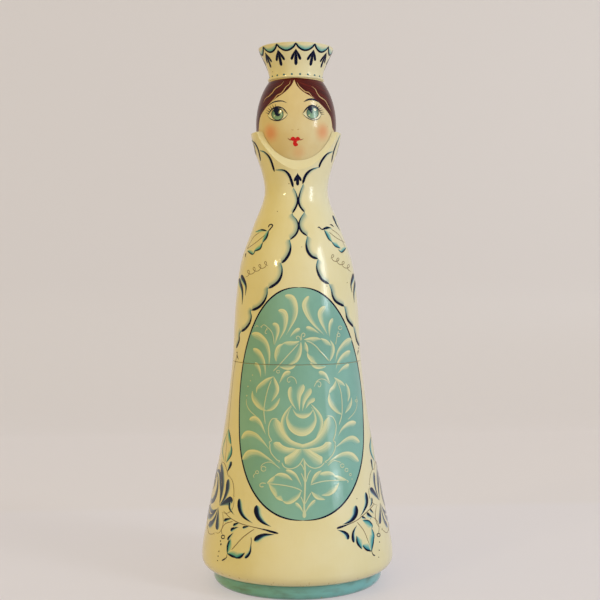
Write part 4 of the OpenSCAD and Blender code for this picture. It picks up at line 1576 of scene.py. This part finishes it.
def sweep_profile():
    """Points of the sweep in depth and height, from its near edge over the bend to its top."""
    points = [(SWEEP_NEAR, 0.0)]
    for step in range(BEND_STEPS + 1):
        bend = step / BEND_STEPS * math.pi / 2
        depth = SWEEP_FAR - BEND_RADIUS + BEND_RADIUS * math.sin(bend)
        points.append((depth, BEND_RADIUS * (1 - math.cos(bend))))
    return points + [(SWEEP_FAR, SWEEP_TALL)]


def seen_rays(begin):
    """1 where a ray comes from the camera, a reflection or clear glass, and 0 for lighting."""
    seen = 0.0
    for ray in ("Is Camera Ray", "Is Glossy Ray", "Is Transmission Ray"):
        seen = begin.node("ShaderNodeLightPath", out=ray) + seen
    return seen


sheet = bmesh.new()
rows = [[sheet.verts.new((x, y, z)) for y, z in sweep_profile()] for x in (-SWEEP_WIDE, SWEEP_WIDE)]
for step in range(len(rows[0]) - 1):
    face = sheet.faces.new((rows[0][step], rows[1][step], rows[1][step + 1], rows[0][step + 1]))
    face.smooth = True
sweep_mesh = bpy.data.meshes.new("sweep")
sheet.to_mesh(sweep_mesh)
sheet.free()
sweep = bpy.data.objects.new("sweep", sweep_mesh)
scene.collection.objects.link(sweep)

sweep_finish = bpy.data.materials.new("pale sweep")
sweep_finish.use_nodes = True
sweep_finish.node_tree.nodes.clear()
begin = Shade(sweep_finish.node_tree)
somewhere = begin.node("ShaderNodeTexCoord", out="Object")
table = 1 - somewhere.part("Y").rise(TABLE_END - TABLE_SOFT, TABLE_END + TABLE_SOFT)
pale = (table * 0.9 + somewhere.noise(0.4) * 0.1).mix(WALL, FLOOR)
lit = begin.node("ShaderNodeBsdfPrincipled", values={"Base Color": pale, "Roughness": 0.7})
glow = {"Base Color": (0, 0, 0, 1), "Emission Color": pale, "Emission Strength": 1.0}
glowing = begin.node("ShaderNodeBsdfPrincipled", values=glow)
both = begin.node("ShaderNodeMixShader", values={0: seen_rays(begin) * FLATNESS, 1: lit, 2: glowing})
begin.node("ShaderNodeOutputMaterial", values={"Surface": both})
sweep_mesh.materials.append(sweep_finish)
print("sweep from", SWEEP_NEAR, "m to", SWEEP_FAR, "m")

# %% [markdown]
# ## Lamps
# Warm light comes from the left, and cool daylight from a window on the right. The window is a wide dim
# lamp with a bright narrow pane before it: the pane's reflection is the white streak that runs down the
# lacquer. The room gives the rest of the light, warm on one side and cool on the other.

# %% Lamps
DAYLIGHT, LAMPLIGHT = (0.86, 0.95, 1.0), (1.0, 0.9, 0.55)
# Each entry: name, place, aim, size, watts and colour
LAMPS = [
    ("window", (1.52, -1.15, 0.95), (0, 0, 0.25), (0.62, 1.2), 11.0, DAYLIGHT),
    ("window pane", (1.48, -1.12, 0.94), (0, 0, 0.25), (0.26, 1.1), 9.0, DAYLIGHT),
    ("lamp", (-1.15, -1.06, 0.94), (0, 0, 0.22), (0.12, 0.12), 4.0, LAMPLIGHT)]
WARM_SIDE, DAY_SIDE = (2.0, 1.45, 0.06, 1.0), (1.0, 1.1, 1.34, 1.0)
SIDE_TURN = (-0.8, 0.5)
ROOM_LIGHT = 0.49


def area_lamp(name, place, aim, size, watts, colour):
    lamp = bpy.data.objects.new(name, bpy.data.lights.new(name, "AREA"))
    lamp.data.shape = "RECTANGLE"
    lamp.data.size, lamp.data.size_y = size
    lamp.data.energy = watts
    lamp.data.color = colour
    lamp.location = place
    lamp.rotation_euler = (Vector(aim) - Vector(place)).to_track_quat("-Z", "Y").to_euler()
    scene.collection.objects.link(lamp)


for entry in LAMPS:
    area_lamp(*entry)
world = bpy.data.worlds.new("soft room")
scene.world = world
world.use_nodes = True
world.node_tree.nodes.clear()
room = Shade(world.node_tree)
direction = room.node("ShaderNodeTexCoord", out="Generated")
side_light = direction.part("X").rise(*SIDE_TURN).mix(WARM_SIDE, DAY_SIDE)
around = room.node("ShaderNodeBackground", values={"Color": side_light, "Strength": ROOM_LIGHT})
backdrop = room.node("ShaderNodeBackground", values={"Color": ROOM, "Strength": 1.0})
shown = room.node("ShaderNodeMixShader", values={0: seen_rays(room), 1: around, 2: backdrop})
room.node("ShaderNodeOutputWorld", values={"Surface": shown})
scene.view_settings.view_transform = "Standard"
print("a window, a lamp and a soft room")
